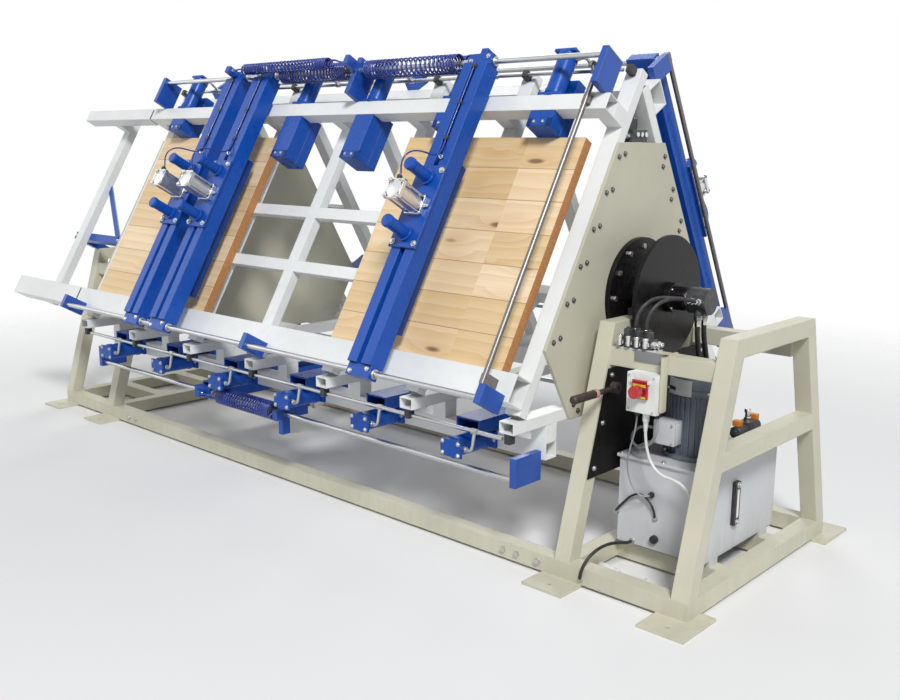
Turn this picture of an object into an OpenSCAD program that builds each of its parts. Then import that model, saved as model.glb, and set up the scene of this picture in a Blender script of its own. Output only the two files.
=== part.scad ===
// Rotary clamp carrier: a three-faced press rotor between two A-frame stands.
// X runs along the rotor axis towards the drive stand, Y away from the operator, Z up.
// The origin lies on the floor, midway between the two stands.

/* [Stands] */
// Side of the square tube of the stands and floor rails
frame_tube = 60; // [50:1:70]
// Thickness of the foot plates
foot_t = 10; // [8:1:16]
// Length of one stand along the rotor axis
stand_len = 500; // [460:10:600]
// Depth of a stand at the floor
stand_depth = 1000; // [900:10:1100]
// Depth of a stand at its top
stand_top_depth = 560; // [520:10:640]
// Height of the stand top above the floor
stand_top_h = 850; // [830:5:900]
// Height of the shaft centre above the stand top
bearing_rise = 60; // [55:1:75]
// Length of the stub to which a floor rail is bolted
stub_len = 190; // [150:10:260]
// Radius of the floor anchor holes
anchor_r = 7; // [5:0.5:9]

/* [Rotor] */
// Length over the end slats
rotor_len = 2776; // [2600:4:2900]
// Distance from the axis to the front of the slats
face_apothem = 390; // [380:1:396]
// Width of a slat along the rotor
slat_w = 60; // [50:1:70]
// Thickness of a slat
slat_t = 40; // [30:1:45]
// Wall of the hollow tubes
tube_wall = 4; // [3:0.5:6]
// Thickness of the end plates
end_plate_t = 12; // [8:1:16]
// Distance from the axis to the cut corners of the end plates
end_plate_cut = 525; // [500:5:560]
// Place of the inner plate as a share of the rotor length
inner_plate_share = -0.25; // [-0.28:0.01:-0.22]
// Radius of the bolted hub flange
flange_r = 200; // [180:5:220]
// Thickness of the hub flange
flange_t = 18; // [12:1:20]
// Radius of the stub shafts
shaft_r = 35; // [30:1:40]
// Radius of the index disc
index_r = 215; // [190:5:230]

/* [Clamping] */
// Depth of the panel seat below the face centre
seat_s = 491; // [470:1:500]
// Height of the fixed jaw
jaw_h = 97; // [80:1:100]
// Height of the fixed jaw proud of the slats
jaw_proud = 80; // [70:1:84]
// Gap between the top edge of the panels and the press rail
rail_gap = 61; // [54:1:69]
// Side of the press rail
rail_side = 60; // [50:1:62]
// Height of a panel between the jaws
panel_h = 867; // [840:1:867]
// Thickness of a panel
panel_t = 40; // [20:1:44]
// Width of a press jaw
press_w = 104; // [80:2:130]
// Length of a press jaw
press_len = 220; // [180:2:230]
// Radius of a press cylinder
ram_r = 35; // [28:1:36]
// Radius of a press rod
rod_r = 12; // [10:0.5:14]
// Width of one tube of a hold-down beam
beam_tube_w = 44; // [36:1:50]
// Depth of a hold-down beam
beam_d = 70; // [60:1:74]
// Gap between the two tubes of a beam
beam_gap = 24; // [20:1:30]
// Radius of the guide rods of the beams
guide_r = 10; // [8:0.5:12]
// Length of a hold-down shoe
shoe_len = 660; // [500:10:670]

/* [Power unit] */
// Length of the oil tank along the rotor axis
tank_x = 330; // [280:5:340]
// Depth of the oil tank
tank_y = 500; // [420:10:520]
// Height of the oil tank
tank_h = 300; // [240:5:320]
// Radius of the pump motor
motor_r = 100; // [80:2:110]
// Height of the pump motor with its fan cover
motor_h = 300; // [260:5:310]
// Width of the switch box
box_w = 106; // [100:2:120]
// Height of the switch box
box_h = 128; // [120:2:150]

/* [Hoses] */
// Radius of the air hose
hose_r = 4; // [3:0.5:4.5]
// Radius of the curls around a guide rod, to the hose centre
rod_curl_r = 34; // [30:1:36]
// Radius of the curls of the hose in its own lane, to the hose centre
lane_curl_r = 20; // [14:1:20]
// Radius of the mains lead
lead_r = 5; // [4:0.5:5]

/* [Hidden] */
// Fits and overruns
overrun = 5;
run_gap = 0.05;
free_gap = 0.3;
shim_gap = 0.1;
round_fn = 48;
hex_fn = 6;
stand_clear = 20;
wing_clear = 4;

// Places along the axis
rotor_x = rotor_len / 2;
plate_x = rotor_x + end_plate_t;
flange_x = plate_x + flange_t;
stand_x0 = flange_x + stand_clear;
stand_x1 = stand_x0 + stand_len;
inner_x1 = stand_x0 + frame_tube;
outer_x0 = stand_x1 - frame_tube;

// Places across the stands
cross_rail_drop = 78;
mid_rail_drop = 405;
axis_h = stand_top_h + bearing_rise;
base_top = foot_t + frame_tube;
half_d = stand_depth / 2;
half_top = stand_top_depth / 2;
cross_rail_top = stand_top_h - cross_rail_drop;
mid_rail_z = stand_top_h - mid_rail_drop;
tank_rail_y = 180;
function leg_y(z) = half_d - (half_d - half_top) * (z - base_top) / (stand_top_h - base_top);

// Foot plates and floor bolts
foot_w = 160;
foot_d = 200;
foot_out = 110;
anchor_edge = 45;
bolt_r = 6;
bolt_head_r = 11;
bolt_head_h = 8;
splice_pitch = 60;

// The three faces: front, bottom and rear
FRONT = 0;
BOTTOM = 1;
REAR = 2;
face_angles = [60, 180, 300];
faces = ["front", "bottom", "rear"];
slat_count = 7;
unit_count = slat_count - 1;
slat_pitch = (rotor_len - slat_w) / (slat_count - 1);
slat_n = [face_apothem - slat_t, face_apothem];
slat_tip = 8;
slat_s = [-slat_n[0] * tan(60), face_apothem * tan(60) - slat_tip];
function slat_x(k) = -rotor_x + slat_w / 2 + k * slat_pitch;
function unit_x(k) = slat_x(k) + slat_pitch / 2;
cross_bar_t = 30;
cross_bar_h = 50;
cross_bar_shares = [-0.418, 0.086];
inner_plate_x = inner_plate_share * rotor_len;
inner_plate_gap = 2;
inner_bay = 1;
stay_spans = [[slat_x(inner_bay) + slat_w / 2 + shim_gap, inner_plate_x - shim_gap],
    [inner_plate_x + end_plate_t + shim_gap, slat_x(inner_bay + 1) - slat_w / 2 - shim_gap]];

// Jaws, rails and press units in face coordinates: x, s up the face, n out of it
jaw_s = [-seat_s - jaw_h, -seat_s];
jaw_n = [face_apothem, face_apothem + jaw_proud];
jaw_wall = 5;
rail_lift = 60;
rail_n = [face_apothem + rail_lift, face_apothem + rail_lift + rail_side];
panel_s = [-seat_s, -seat_s + panel_h];
rail_span = [panel_s[1] + rail_gap, panel_s[1] + rail_gap + rail_side];
rail_mid_n = (rail_n[0] + rail_n[1]) / 2;
panel_shares = [[-0.4683, -0.1423], [0.1621, 0.4647]];
press_gap = 4;
press_n = [face_apothem + press_gap, min(rail_n[0], rail_mid_n - ram_r) - press_gap];
press_wall = 6;
press_floor = 12;
nose_w = 60;
nose_h = 30;
nose_wall = 12;
nose_n = rail_mid_n + rod_r + nose_wall;
rod_len = 236;
press_stroke = 136;
press_closed_s = panel_s[1] + free_gap;
press_open_s = press_closed_s - press_stroke;
// Jaws three and four of the front face have no panel and stand at the end of their stroke
front_press_s = [for (k = [0:unit_count - 1]) (k == 2 || k == 3) ? press_open_s : press_closed_s];
ram_len = 177;
ram_s1 = rail_span[1] + ram_len;
ram_cap_h = 10;
ram_cap_w = 90;
ram_foot_h = 12;
ram_foot_w = 100;

// Hold-down beams and their guide rods
beam_lift = 15;
beam_n = [rail_n[1] + beam_lift, rail_n[1] + beam_lift + beam_d];
beam_w = 2 * beam_tube_w + beam_gap;
beam_under = 2;
beam_over = 93;
beam_half_len = max(beam_under - jaw_s[0], rail_span[1] + beam_over);
beam_end_h = 44;
guide_s = beam_half_len + beam_end_h / 2;
guide_n = (beam_n[0] + beam_n[1]) / 2;
guide_end_n = 22;
guide_inset = [88, 18];
guide_x = [guide_inset[0] - rotor_x, rotor_x - guide_inset[1]];
post_t = 24;
mid_post_share = 0.054;
post_x = [guide_x[0] + post_t / 2, mid_post_share * rotor_len, guide_x[1] - post_t / 2];
post_over = 20;
lug_w = 30;
lug_h = 30;
lug_drop = 4;
mid_plate_t = 10;
plate_n = beam_n[1] + mid_plate_t;
mid_plate_w = 130;
mid_plate_h = 320;
air_ram_r = 32;
air_ram_len = 130;
guide_tube_r = 22;
guide_tube_len = 110;
guide_tube_s = 110;
bore_end = 15;
shoe_w = 60;
shoe_top_s = 220;
shoe_t = 45;
shoe_gap = 5;
shoe_n = [beam_n[0] - shoe_gap - shoe_t, beam_n[0] - shoe_gap];
shoe_rod_r = 8;
shoe_guide_r = 7;
shoe_rod_len = 170;
front_beam_shares = [-0.2378, -0.1621, 0.2954];
front_beam_x = [for (share = front_beam_shares) share * rotor_len];
rear_beam_share = 0.4593;
rear_beam_x = rear_beam_share * rotor_len;
bottom_beam_share = -0.1441;
bottom_beam_x = bottom_beam_share * rotor_len;

// End stop bars at the right-hand edge of the front and the rear face
stop_inset = 78;
stop_x = rotor_x - stop_inset;
stop_r = 9;
stop_lift = 15;
stop_n = rail_n[1] + stop_lift;
stop_under = 12;
stop_over = 48;
stop_s = [jaw_s[0] - stop_under, rail_span[1] + stop_over];
stop_clamp_w = 30;
stop_clamp_h = 34;
rear_stop_clamp_w = 24;
rear_stop_over = 14;
rear_stop_n = guide_n + post_over + stop_lift;
rear_stop_s = guide_s + rear_stop_over;

// Hub
shaft_reach = 175;
shaft_end_x = stand_x0 + shaft_reach;
spindle_r = 20;
spindle_len = 50;
idler_over = 45;
idler_end_x = inner_x1 + idler_over;
index_gap = 20;
index_x = inner_x1 + index_gap;
index_t = 15;
hub_bolt_count = 12;
hub_bolt_edge = 30;
hub_bolt_pcr = flange_r - hub_bolt_edge;
hub_bolt_r = 10;
hub_bolt_h = 9;
bearing_w = 56;
bearing_len = 230;
bearing_r = 58;
bearing_foot_h = 24;

// Fixed extension frame beside the rotor, on the left-hand stand
wing_len = 650;
wing_x = [-plate_x - wing_clear - wing_len, -plate_x - wing_clear];
wing_slat_share = 0.39;
wing_slat_x = wing_x[0] + wing_slat_share * wing_len;
stay_t = 40;
stay_drop = 180;
stay_s = -stay_drop;
stay_n = [slat_n[0] - stay_t, slat_n[0]];
strut_t = 8;
strut_w = 30;
strut_top_s = 124;
strut_foot_x = -inner_x1 + frame_tube / 2;

// Shield, tank, motor and valves
shield_t = 4;
shield_drop = 105;
shield_gap = 12;
shield_inset = 10;
shield_z = [mid_rail_z - shield_drop, cross_rail_top - frame_tube - shield_gap];
tank_foot = 20;
tank_gap = 22;
tank_x0 = inner_x1 + tank_gap;
tank_z0 = base_top + tank_foot;
tank_top = tank_z0 + tank_h;
tank_span = [tank_x0, tank_x0 + tank_x];
lid_t = 10;
lid_over = 8;
lid_top = tank_top + lid_t;
motor_shares = [0.576, -0.16];
motor_pos = [tank_span[0] + motor_shares[0] * tank_x, motor_shares[1] * tank_y];
motor_flange_h = 16;
motor_flange_over = 12;
motor_flange_r = motor_r + motor_flange_over;
fan_h = 70;
fin_count = 32;
fin_h = 8;
fin_t = 4;
term_w = 76;
term_d = 80;
term_h = 76;
term_z = 94;
term_shift = 42;
valve_inset = 45;
valve_w = 80;
valve_d = 90;
valve_front = 70;
valve_x = [tank_span[0] + valve_inset, tank_span[0] + valve_inset + valve_w];
valve_y = [valve_front, valve_front + valve_d];
valve_h = 110;
port_r = 14;
port_h = 14;
gauge_w = 34;
gauge_h = 150;
gauge_t = 14;
gauge_y = -60;
gauge_rise = 90;
gauge_z = tank_z0 + gauge_rise;
filler_r = 36;
filler_h = 40;
filler_shares = [0.79, 0.34];
filler_pos = [tank_span[0] + filler_shares[0] * tank_x, filler_shares[1] * tank_y];
drain_r = 14;
drain_h = 12;
drain_share = 0.45;
drain_x = tank_span[0] + drain_share * tank_x;
drain_rise = 40;
drain_z = tank_z0 + drain_rise;

// Rotary union
union_r = 45;
union_gap = 6;
union_len = 74;
union_x = [shaft_end_x + union_gap, shaft_end_x + union_gap + union_len];

// Switch box, flap, stop button and lock lever
box_inset = 159;
box_d = 60;
box_seat = 12;
switch_x = stand_x0 + box_inset;
switch_back = -leg_y(cross_rail_top) + box_seat;
switch_y = [switch_back - box_d, switch_back];
switch_z = [cross_rail_top - frame_tube - box_h, cross_rail_top - frame_tube];
hanger_w = 40;
hanger_t = 6;
hanger_h = 50;
flap_w = 56;
flap_h = 56;
flap_t = 10;
flap_inset = 24;
flap_rise = 48;
flap_x = switch_x + flap_inset;
flap_z = switch_z[0] + flap_rise;
flap_gap = 6;
hinge_r = 5;
button_r = 20;
button_h = 22;
button_stem_r = 9;
button_gap = 12;
button_rise = 26;
button_z = flap_z + button_rise;
gland_r = 11;
gland_h = 26;
gland_inset = 45;
gland_x = switch_x + box_w - gland_inset;
gland_depth = 35;
gland_y = switch_back - gland_depth;
lever_gap = 26;
lever_x = inner_x1 + shield_t + lever_gap;
lever_drop = 60;
lever_inset = 30;
lever_z = shield_z[1] - lever_drop;
lever_y = -leg_y(lever_z) + lever_inset;
lever_len = 180;
lever_r = 9;
grip_r = 14;
grip_len = 110;
lever_hub_r = 20;
lever_hub_w = 24;
lever_pin_r = 8;
lever_plate_t = 12;

// Hand-chosen points of the mains lead from the stand's inner end, from the switch box to its hank behind
// the front base rail
lead_points = [[220, -325, 558], [220, -325, 530], [222, -325, 500], [228, -325, 465], [241, -325, 430],
    [262, -325, 402], [290, -325, 386], [324, -325.5, 381], [358, -326, 372], [388, -327, 350], [406, -329, 316],
    [412, -331, 270], [411, -333, 210], [407, -336, 150], [399, -339, 100], [388, -341, 62],
    [377.3, -341.2, 30.5], [359, -341.2, 12.2], [344, -341.2, 5.5]];
lead_route = [for (p = lead_points) p + [stand_x0, 0, 0]];
hank_inset = 254;
hank_back = 388;
hank_pos = [stand_x0 + hank_inset, -hank_back];
hank_run = 160;
hank_layer_turns = 1.5;
hank_step = 11.2;
hank_r_in = 30;
hank_tail_turns = 0.25;
hank_tail_inset = 154;
hank_tail_x = stand_x0 + hank_tail_inset;
lead_entry = 10;
floor_gap = 0.5;
plug_r = 16;
plug_len = 80;

// Hand-chosen points of the two pressure hoses, from the rotary union to the valve block: places along and
// across the stand, and the height as a share of the way up
supply_r = 9;
port_drop = 52;
supply_z = [lid_top + valve_h + port_h, axis_h - port_drop];
supply_points = [
    [[221, -22, 1], [221, -22, 0.94], [220, -21, 0.862], [216, -8, 0.752], [208, 18, 0.617],
        [198, 46, 0.467], [190, 70, 0.317], [186, 86, 0.168], [184, 95, 0.048], [184, 95, 0]],
    [[221, 22, 1], [221, 22, 0.94], [220, 24, 0.862], [217, 36, 0.752], [211, 62, 0.617],
        [202, 92, 0.467], [192, 117, 0.317], [186, 131, 0.168], [184, 135, 0.048], [184, 135, 0]]];
supply_routes = [for (points = supply_points)
    [for (p = points) [stand_x0 + p[0], p[1], supply_z[0] + p[2] * (supply_z[1] - supply_z[0])]]];

// Curly air hoses: face, ends along the axis, curls. The second lies in a lane of its own above the
// guide rod, and the others are wound loosely around the rod
lane_top = [guide_s + rod_curl_r, guide_n];
front_lug_rise = 46;
lane_front = [guide_s - lug_drop, guide_n + guide_end_n + front_lug_rise];
curl_lead = 12;
ramp_share = 0.05;
curl_counts = [18, 22, 16, 14];
hose_table = [
    [FRONT, post_x[1] - post_t / 2, front_beam_x[1] + lug_w / 2, curl_counts[0]],
    [FRONT, post_x[1] - post_t / 2, front_beam_x[0] + lug_w / 2, curl_counts[1]],
    [FRONT, post_x[1] + post_t / 2, front_beam_x[2] - lug_w / 2, curl_counts[2]],
    [BOTTOM, post_x[1] - post_t / 2, bottom_beam_x + lug_w / 2, curl_counts[3]]];
LANE_HOSE = 1;
hose_sides = 6;
curl_rings = 8;
loop_rings = 40;
lead_sides = 8;

// A box between three pairs of limits
module block(x, y, z) {
    translate([x[0], y[0], z[0]])
        cube([x[1] - x[0], y[1] - y[0], z[1] - z[0]]);
}

function around(c, w) = [c - w / 2, c + w / 2];

// A round bar along X, Y or Z from a start point
module bar_x(p, r, len) {
    translate(p) rotate([0, 90, 0]) cylinder(r = r, h = len, $fn = round_fn);
}
module bar_y(p, r, len) {
    translate(p) rotate([-90, 0, 0]) cylinder(r = r, h = len, $fn = round_fn);
}
module bar_z(p, r, len) {
    translate(p) cylinder(r = r, h = len, $fn = round_fn);
}

// A hollow tube along X or along the second axis
module tube_along_x(x, y, z, wall) {
    difference() {
        block(x, y, z);
        block([x[0] - overrun, x[1] + overrun], [y[0] + wall, y[1] - wall], [z[0] + wall, z[1] - wall]);
    }
}
module tube_along_s(x, y, z, wall) {
    difference() {
        block(x, y, z);
        block([x[0] + wall, x[1] - wall], [y[0] - overrun, y[1] + overrun], [z[0] + wall, z[1] - wall]);
    }
}

// Face coordinates: x along the rotor, y up the face, z out of the face
module on_face(f) {
    translate([0, 0, axis_h]) rotate([face_angles[f], 0, 0]) children();
}

// Tubes swept along a row of points, with a frame carried from ring to ring
function unit(v) = v / norm(v);
function heading(p, i) = unit(p[min(i + 1, len(p) - 1)] - p[max(i - 1, 0)]);
function square_to(v, t) = unit(v - (v * t) * t);
function carried(p, first) = [for (i = 0, u = square_to(first, heading(p, 0)); i < len(p);
    i = i + 1, u = i < len(p) ? square_to(u, heading(p, i)) : u) u];
function ring(c, t, u, r, sides) =
    let (v = cross(t, u), step = 360 / sides)
    [for (k = [0:sides - 1]) c + r * (cos(step * k) * u + sin(step * k) * v)];
module swept_tube(p, r, sides, first) {
    u = carried(p, first);
    last = len(p) - 1;
    points = [for (i = [0:last]) each ring(p[i], heading(p, i), u[i], r, sides)];
    walls = [for (i = [0:last - 1], k = [0:sides - 1])
        let (a = i * sides + k, b = i * sides + (k + 1) % sides)
        each [[a, b + sides, b], [a, a + sides, b + sides]]];
    caps = [for (k = [1:sides - 2]) each [[0, k, k + 1],
        [last * sides, last * sides + k + 1, last * sides + k]]];
    polyhedron(points = points, faces = concat(walls, caps));
}

// Least gap of a wound tube to itself, measured on its points
function least_gap(p, r, apart) = min([for (i = [0:len(p) - 1 - apart], j = [i + apart:len(p) - 1])
    norm(p[i] - p[j])]) - 2 * r;

// Stands
module a_frame(mid) {
    leg = frame_tube;
    function side(z) = leg_y(z) - leg;
    function window(z0, z1) = [[-side(z0), z0], [side(z0), z0], [side(z1), z1], [-side(z1), z1]];
    rotate([90, 0, 90])
        linear_extrude(frame_tube)
            difference() {
                polygon([[-half_d, foot_t], [half_d, foot_t], [half_d, base_top], [half_top, stand_top_h],
                    [-half_top, stand_top_h], [-half_d, base_top]]);
                if (mid) {
                    polygon(window(base_top, mid_rail_z));
                    polygon(window(mid_rail_z + leg, stand_top_h - leg));
                } else {
                    polygon(window(base_top, stand_top_h - leg));
                }
            }
}

module foot_plate(x, side) {
    edge = half_d + foot_out;
    difference() {
        block(around(x, foot_w), side > 0 ? [edge - foot_d, edge] : [-edge, foot_d - edge], [0, foot_t]);
        bar_z([x, side * (edge - anchor_edge), -overrun], anchor_r, foot_t + 2 * overrun);
    }
}

module splice_holes() {
    for (side = [-1, 1], step = [-1, 1])
        bar_y([stand_x0 - stub_len + step * splice_pitch / 2, side * (half_d - frame_tube / 2)
            - frame_tube / 2 - overrun, foot_t + frame_tube / 2],
            bolt_r, frame_tube + 2 * overrun);
}

module stand() {
    rail_y = leg_y(cross_rail_top);
    span = [inner_x1, outer_x0];
    difference() {
        union() {
            translate([stand_x0, 0, 0]) a_frame(false);
            translate([outer_x0, 0, 0]) a_frame(true);
            for (side = [-1, 1]) {
                base_y = around(side * (half_d - frame_tube / 2), frame_tube);
                block(span, base_y, [foot_t, base_top]);
                block([stand_x0 - stub_len, stand_x0], base_y, [foot_t, base_top]);
                block(span, around(side * (rail_y - frame_tube / 2), frame_tube),
                    [cross_rail_top - frame_tube, cross_rail_top]);
                block(span, around(side * tank_rail_y, frame_tube), [foot_t, base_top]);
                foot_plate(stand_x0 + frame_tube / 2, side);
                foot_plate(stand_x1 - frame_tube / 2, side);
            }
        }
        splice_holes();
    }
}

module left_stand() {
    color("#d7d4be") mirror([1, 0, 0]) stand();
}

module right_stand() {
    color("#d7d4be") stand();
}

module floor_rails() {
    reach = stand_x0 - stub_len;
    color("#d7d4be")
        difference() {
            for (side = [-1, 1])
                tube_along_x([-reach, reach], around(side * (half_d - frame_tube / 2), frame_tube),
                    [foot_t, base_top], tube_wall);
            for (way = [0, 1]) mirror([way, 0, 0]) splice_holes();
        }
}

module splice_bolts() {
    mid_z = foot_t + frame_tube / 2;
    color("#8c8f93")
        for (way = [-1, 1], side = [-1, 1], step = [-1, 1])
            translate([way * (stand_x0 - stub_len) + step * splice_pitch / 2, side * half_d, mid_z])
                rotate([-90 * side, 0, 0]) {
                    cylinder(r = bolt_head_r, h = bolt_head_h, $fn = hex_fn);
                    translate([0, 0, -frame_tube])
                        cylinder(r = bolt_r - run_gap, h = frame_tube, $fn = round_fn);
                    translate([0, 0, -frame_tube - bolt_head_h])
                        cylinder(r = bolt_head_r, h = bolt_head_h, $fn = hex_fn);
                }
}

module shaft_bearings() {
    color("#4a4d50")
        for (way = [-1, 1])
            translate([way * (stand_x0 + frame_tube / 2), 0, 0])
                difference() {
                    union() {
                        block(around(0, bearing_w), around(0, bearing_len),
                            [stand_top_h, stand_top_h + bearing_foot_h]);
                        block(around(0, bearing_w), around(0, 2 * bearing_r), [stand_top_h, axis_h]);
                        bar_x([-bearing_w / 2, 0, axis_h], bearing_r, bearing_w);
                    }
                    bar_x([-bearing_w / 2 - overrun, 0, axis_h], shaft_r + run_gap, bearing_w + 2 * overrun);
                }
}

module bearing_shield() {
    function edge(z) = leg_y(z) - shield_inset;
    color("#1a1a1c") {
        lever_pin();
        translate([inner_x1, 0, 0]) rotate([90, 0, 90]) linear_extrude(shield_t)
            polygon([[-edge(shield_z[0]), shield_z[0]], [edge(shield_z[0]), shield_z[0]],
                [edge(shield_z[1]), shield_z[1]], [-edge(shield_z[1]), shield_z[1]]]);
    }
}

// Power unit
module oil_tank() {
    color("#d7dadc") {
        difference() {
            block(tank_span, around(0, tank_y), [tank_z0, tank_top]);
            block([tank_span[0] + tube_wall, tank_span[1] - tube_wall], around(0, tank_y - 2 * tube_wall),
                [tank_z0 + tube_wall, tank_top + overrun]);
            bar_y([drain_x, -tank_y / 2 - overrun, drain_z], drain_r / 2, 2 * overrun + tube_wall);
        }
        for (x = tank_span, side = [-1, 1])
            block(around(x + (x == tank_span[0] ? frame_tube : -frame_tube) / 2, frame_tube),
                around(side * tank_rail_y, frame_tube), [base_top, tank_z0]);
        block([tank_span[0] - lid_over, tank_span[1] + lid_over], around(0, tank_y + 2 * lid_over),
            [tank_top, lid_top]);
    }
}

module pump_motor() {
    fan_z = lid_top + motor_h - fan_h;
    color("#50596b")
        translate([motor_pos[0], motor_pos[1], 0]) {
            bar_z([0, 0, lid_top], motor_flange_r, motor_flange_h);
            bar_z([0, 0, lid_top + motor_flange_h], motor_r - fin_h, motor_h - motor_flange_h - fan_h);
            for (k = [0:fin_count - 1])
                rotate([0, 0, 360 * k / fin_count])
                    block([motor_r - 2 * fin_h, motor_r], around(0, fin_t),
                        [lid_top + motor_flange_h, fan_z - motor_flange_h]);
            bar_z([0, 0, fan_z], motor_r, fan_h);
            block(around(-term_shift, term_w), [-motor_r - term_d / 2, -motor_r / 2],
                around(lid_top + term_z, term_h));
        }
}

module valve_block() {
    mid_y = (valve_y[0] + valve_y[1]) / 2;
    color("#3b3e42") {
        block(valve_x, valve_y, [lid_top, lid_top + valve_h]);
        for (route = supply_routes)
            bar_z([route[len(route) - 1][0], route[len(route) - 1][1], lid_top + valve_h], port_r, port_h);
        bar_x([valve_x[0] - 2 * port_r, mid_y, lid_top + valve_h / 2], port_r, 2 * port_r);
    }
}

module tank_fittings() {
    color("#2b2d30") {
        block([tank_span[1], tank_span[1] + gauge_t], around(gauge_y, gauge_w), [gauge_z, gauge_z + gauge_h]);
        bar_z([filler_pos[0], filler_pos[1], lid_top], filler_r, filler_h);
        bar_y([drain_x, -tank_y / 2 - drain_h, drain_z], drain_r, drain_h);
        bar_y([drain_x, -tank_y / 2, drain_z], drain_r / 2 - run_gap, tube_wall);
    }
}

// Controls
module switch_box() {
    color("#eceeec") {
        block([switch_x, switch_x + box_w], switch_y, switch_z);
        bar_z([gland_x, gland_y, switch_z[0] - gland_h], gland_r, gland_h);
        block(around(switch_x + box_w / 2, hanger_w), [switch_y[1], switch_y[1] + hanger_t],
            [switch_z[1] - hanger_h, switch_z[1]]);
        for (x = [flap_x - flap_gap, flap_x + flap_w])
            block([x, x + flap_gap], [switch_y[0] - flap_t, switch_y[0]], around(flap_z + flap_h, flap_t));
        bar_x([flap_x, switch_y[0] - flap_t / 2, flap_z + flap_h], hinge_r / 2, flap_w);
    }
}

module switch_flap() {
    hinge_y = switch_y[0] - flap_t / 2;
    hinge_z = flap_z + flap_h;
    span = [flap_x + free_gap, flap_x + flap_w - free_gap];
    front = switch_y[0] - free_gap;
    color("#b81420")
        difference() {
            union() {
                block(span, [front - flap_t, front], [flap_z, hinge_z - hinge_r]);
                bar_x([span[0], hinge_y, hinge_z], hinge_r - free_gap, span[1] - span[0]);
                block(span, around(hinge_y, hinge_r), [hinge_z - hinge_r, hinge_z]);
            }
            bar_x([flap_x - overrun, hinge_y, hinge_z], hinge_r / 2 + run_gap, flap_w + 2 * overrun);
            bar_y([flap_x + flap_w / 2, front - flap_t - overrun, button_z],
                button_stem_r + run_gap, flap_t + 2 * overrun);
        }
}

module stop_button() {
    front = switch_y[0] - free_gap - flap_t;
    color("#c8102e") {
        bar_y([flap_x + flap_w / 2, front - button_gap - button_h, button_z], button_r, button_h);
        bar_y([flap_x + flap_w / 2, front - button_gap, button_z], button_stem_r, button_gap + flap_t / 2);
    }
}

module lock_lever() {
    color("#2a1c18") {
        difference() {
            union() {
                bar_x([lever_x - lever_hub_w / 2, lever_y, lever_z], lever_hub_r, lever_hub_w);
                bar_y([lever_x, lever_y - lever_len, lever_z], lever_r, lever_len);
            }
            bar_x([lever_x - lever_hub_w, lever_y, lever_z], lever_pin_r + run_gap, 2 * lever_hub_w);
        }
        bar_y([lever_x, lever_y - lever_len - grip_len / 2, lever_z], grip_r, grip_len);
    }
}

module lever_pin() {
    x0 = inner_x1 + shield_t;
    side = 2 * lever_hub_r;
    block([x0, x0 + lever_plate_t], around(lever_y, side), around(lever_z, side));
    bar_x([x0, lever_y, lever_z], lever_pin_r, lever_x - x0 + lever_hub_w / 2);
}

module union_body() {
    color("#6b5d33") {
        difference() {
            bar_x([union_x[0], 0, axis_h], union_r, union_x[1] - union_x[0]);
            bar_x([union_x[0] - overrun, 0, axis_h], spindle_r + run_gap, spindle_len + overrun);
        }
        for (route = supply_routes)
            bar_z(route[0], port_r, axis_h - route[0][2] - union_r / 2);
    }
}

module supply_hoses() {
    color("#222428")
        for (route = supply_routes) swept_tube(route, supply_r, lead_sides, [1, 0, 0]);
}

// Fixed extension frame
module wing_frame() {
    color("#f0f2ee") on_face(FRONT) {
        tube_along_x(wing_x, jaw_s, jaw_n, jaw_wall);
        tube_along_x(wing_x, rail_span, rail_n, tube_wall);
        block(around(wing_slat_x, slat_w), [jaw_s[0], rail_span[1]], slat_n);
        block(around(wing_slat_x, slat_w), rail_span, [face_apothem, rail_n[0]]);
    }
}

module wing_stay() {
    arm_x = [-stand_x1 + frame_tube / 2, -stand_x0 - frame_tube / 2];
    bar_s = around(stay_s, stay_t);
    run = strut_foot_x - wing_slat_x - slat_w / 2;
    drop = strut_top_s - bar_s[1];
    color("#194baa") {
        difference() {
            on_face(FRONT) {
                block([arm_x[0] - stay_t / 2, arm_x[1] + stay_t / 2], bar_s, stay_n);
                for (x = arm_x) block(around(x, stay_t), bar_s, [0, stay_n[0]]);
            }
            block([-stand_x1 - stand_len, 0], around(0, stand_depth), [0, stand_top_h]);
        }
        difference() {
            on_face(FRONT)
                translate([wing_slat_x + slat_w / 2, strut_top_s, stay_n[1]])
                    rotate([0, 0, -atan(drop / run)])
                        translate([-strut_w, -strut_w, 0])
                            cube([norm([run, drop]) + strut_w, strut_w, strut_t]);
            on_face(FRONT)
                block(around(wing_slat_x, slat_w), [jaw_s[0], rail_span[1]],
                    [slat_n[0] - overrun, slat_n[1]]);
        }
    }
}

// Mains lead, its hank and its plug
function hank_r(turn) = hank_r_in + hank_step * abs(turn - hank_layer_turns);
function climb(turn) = max(0, min(1, 2 * (turn - hank_layer_turns) + 0.5));
function hank_z(turn) = lead_r + floor_gap + hank_step * climb(turn);
function quarter(turn) = 4 * (turn - floor(turn));
function run_share(q) = q < 1 ? 1 - 2 * q : q < 2 ? -1 : q < 3 ? 2 * q - 5 : 1;
function bend_angle(q) = 90 + 180 * (max(0, min(1, q - 1)) + max(0, q - 3));
function hank_point(turn) = let (q = quarter(turn))
    [hank_pos[0] + run_share(q) * hank_run / 2 + hank_r(turn) * cos(bend_angle(q)),
        hank_pos[1] + hank_r(turn) * sin(bend_angle(q)), hank_z(turn)];
hank_turns = 2 * hank_layer_turns + hank_tail_turns;
hank_end = hank_point(hank_turns);
plug_end = [hank_tail_x, hank_end[1], hank_end[2]];
hank_route = concat([hank_point(0) + [lead_entry, 0, 0]],
    [for (i = [0:hank_turns * loop_rings]) hank_point(i / loop_rings)], [plug_end]);

module mains_lead() {
    color("#c4c6c2") swept_tube(lead_route, lead_r, lead_sides, [0, 1, 0]);
}

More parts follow.
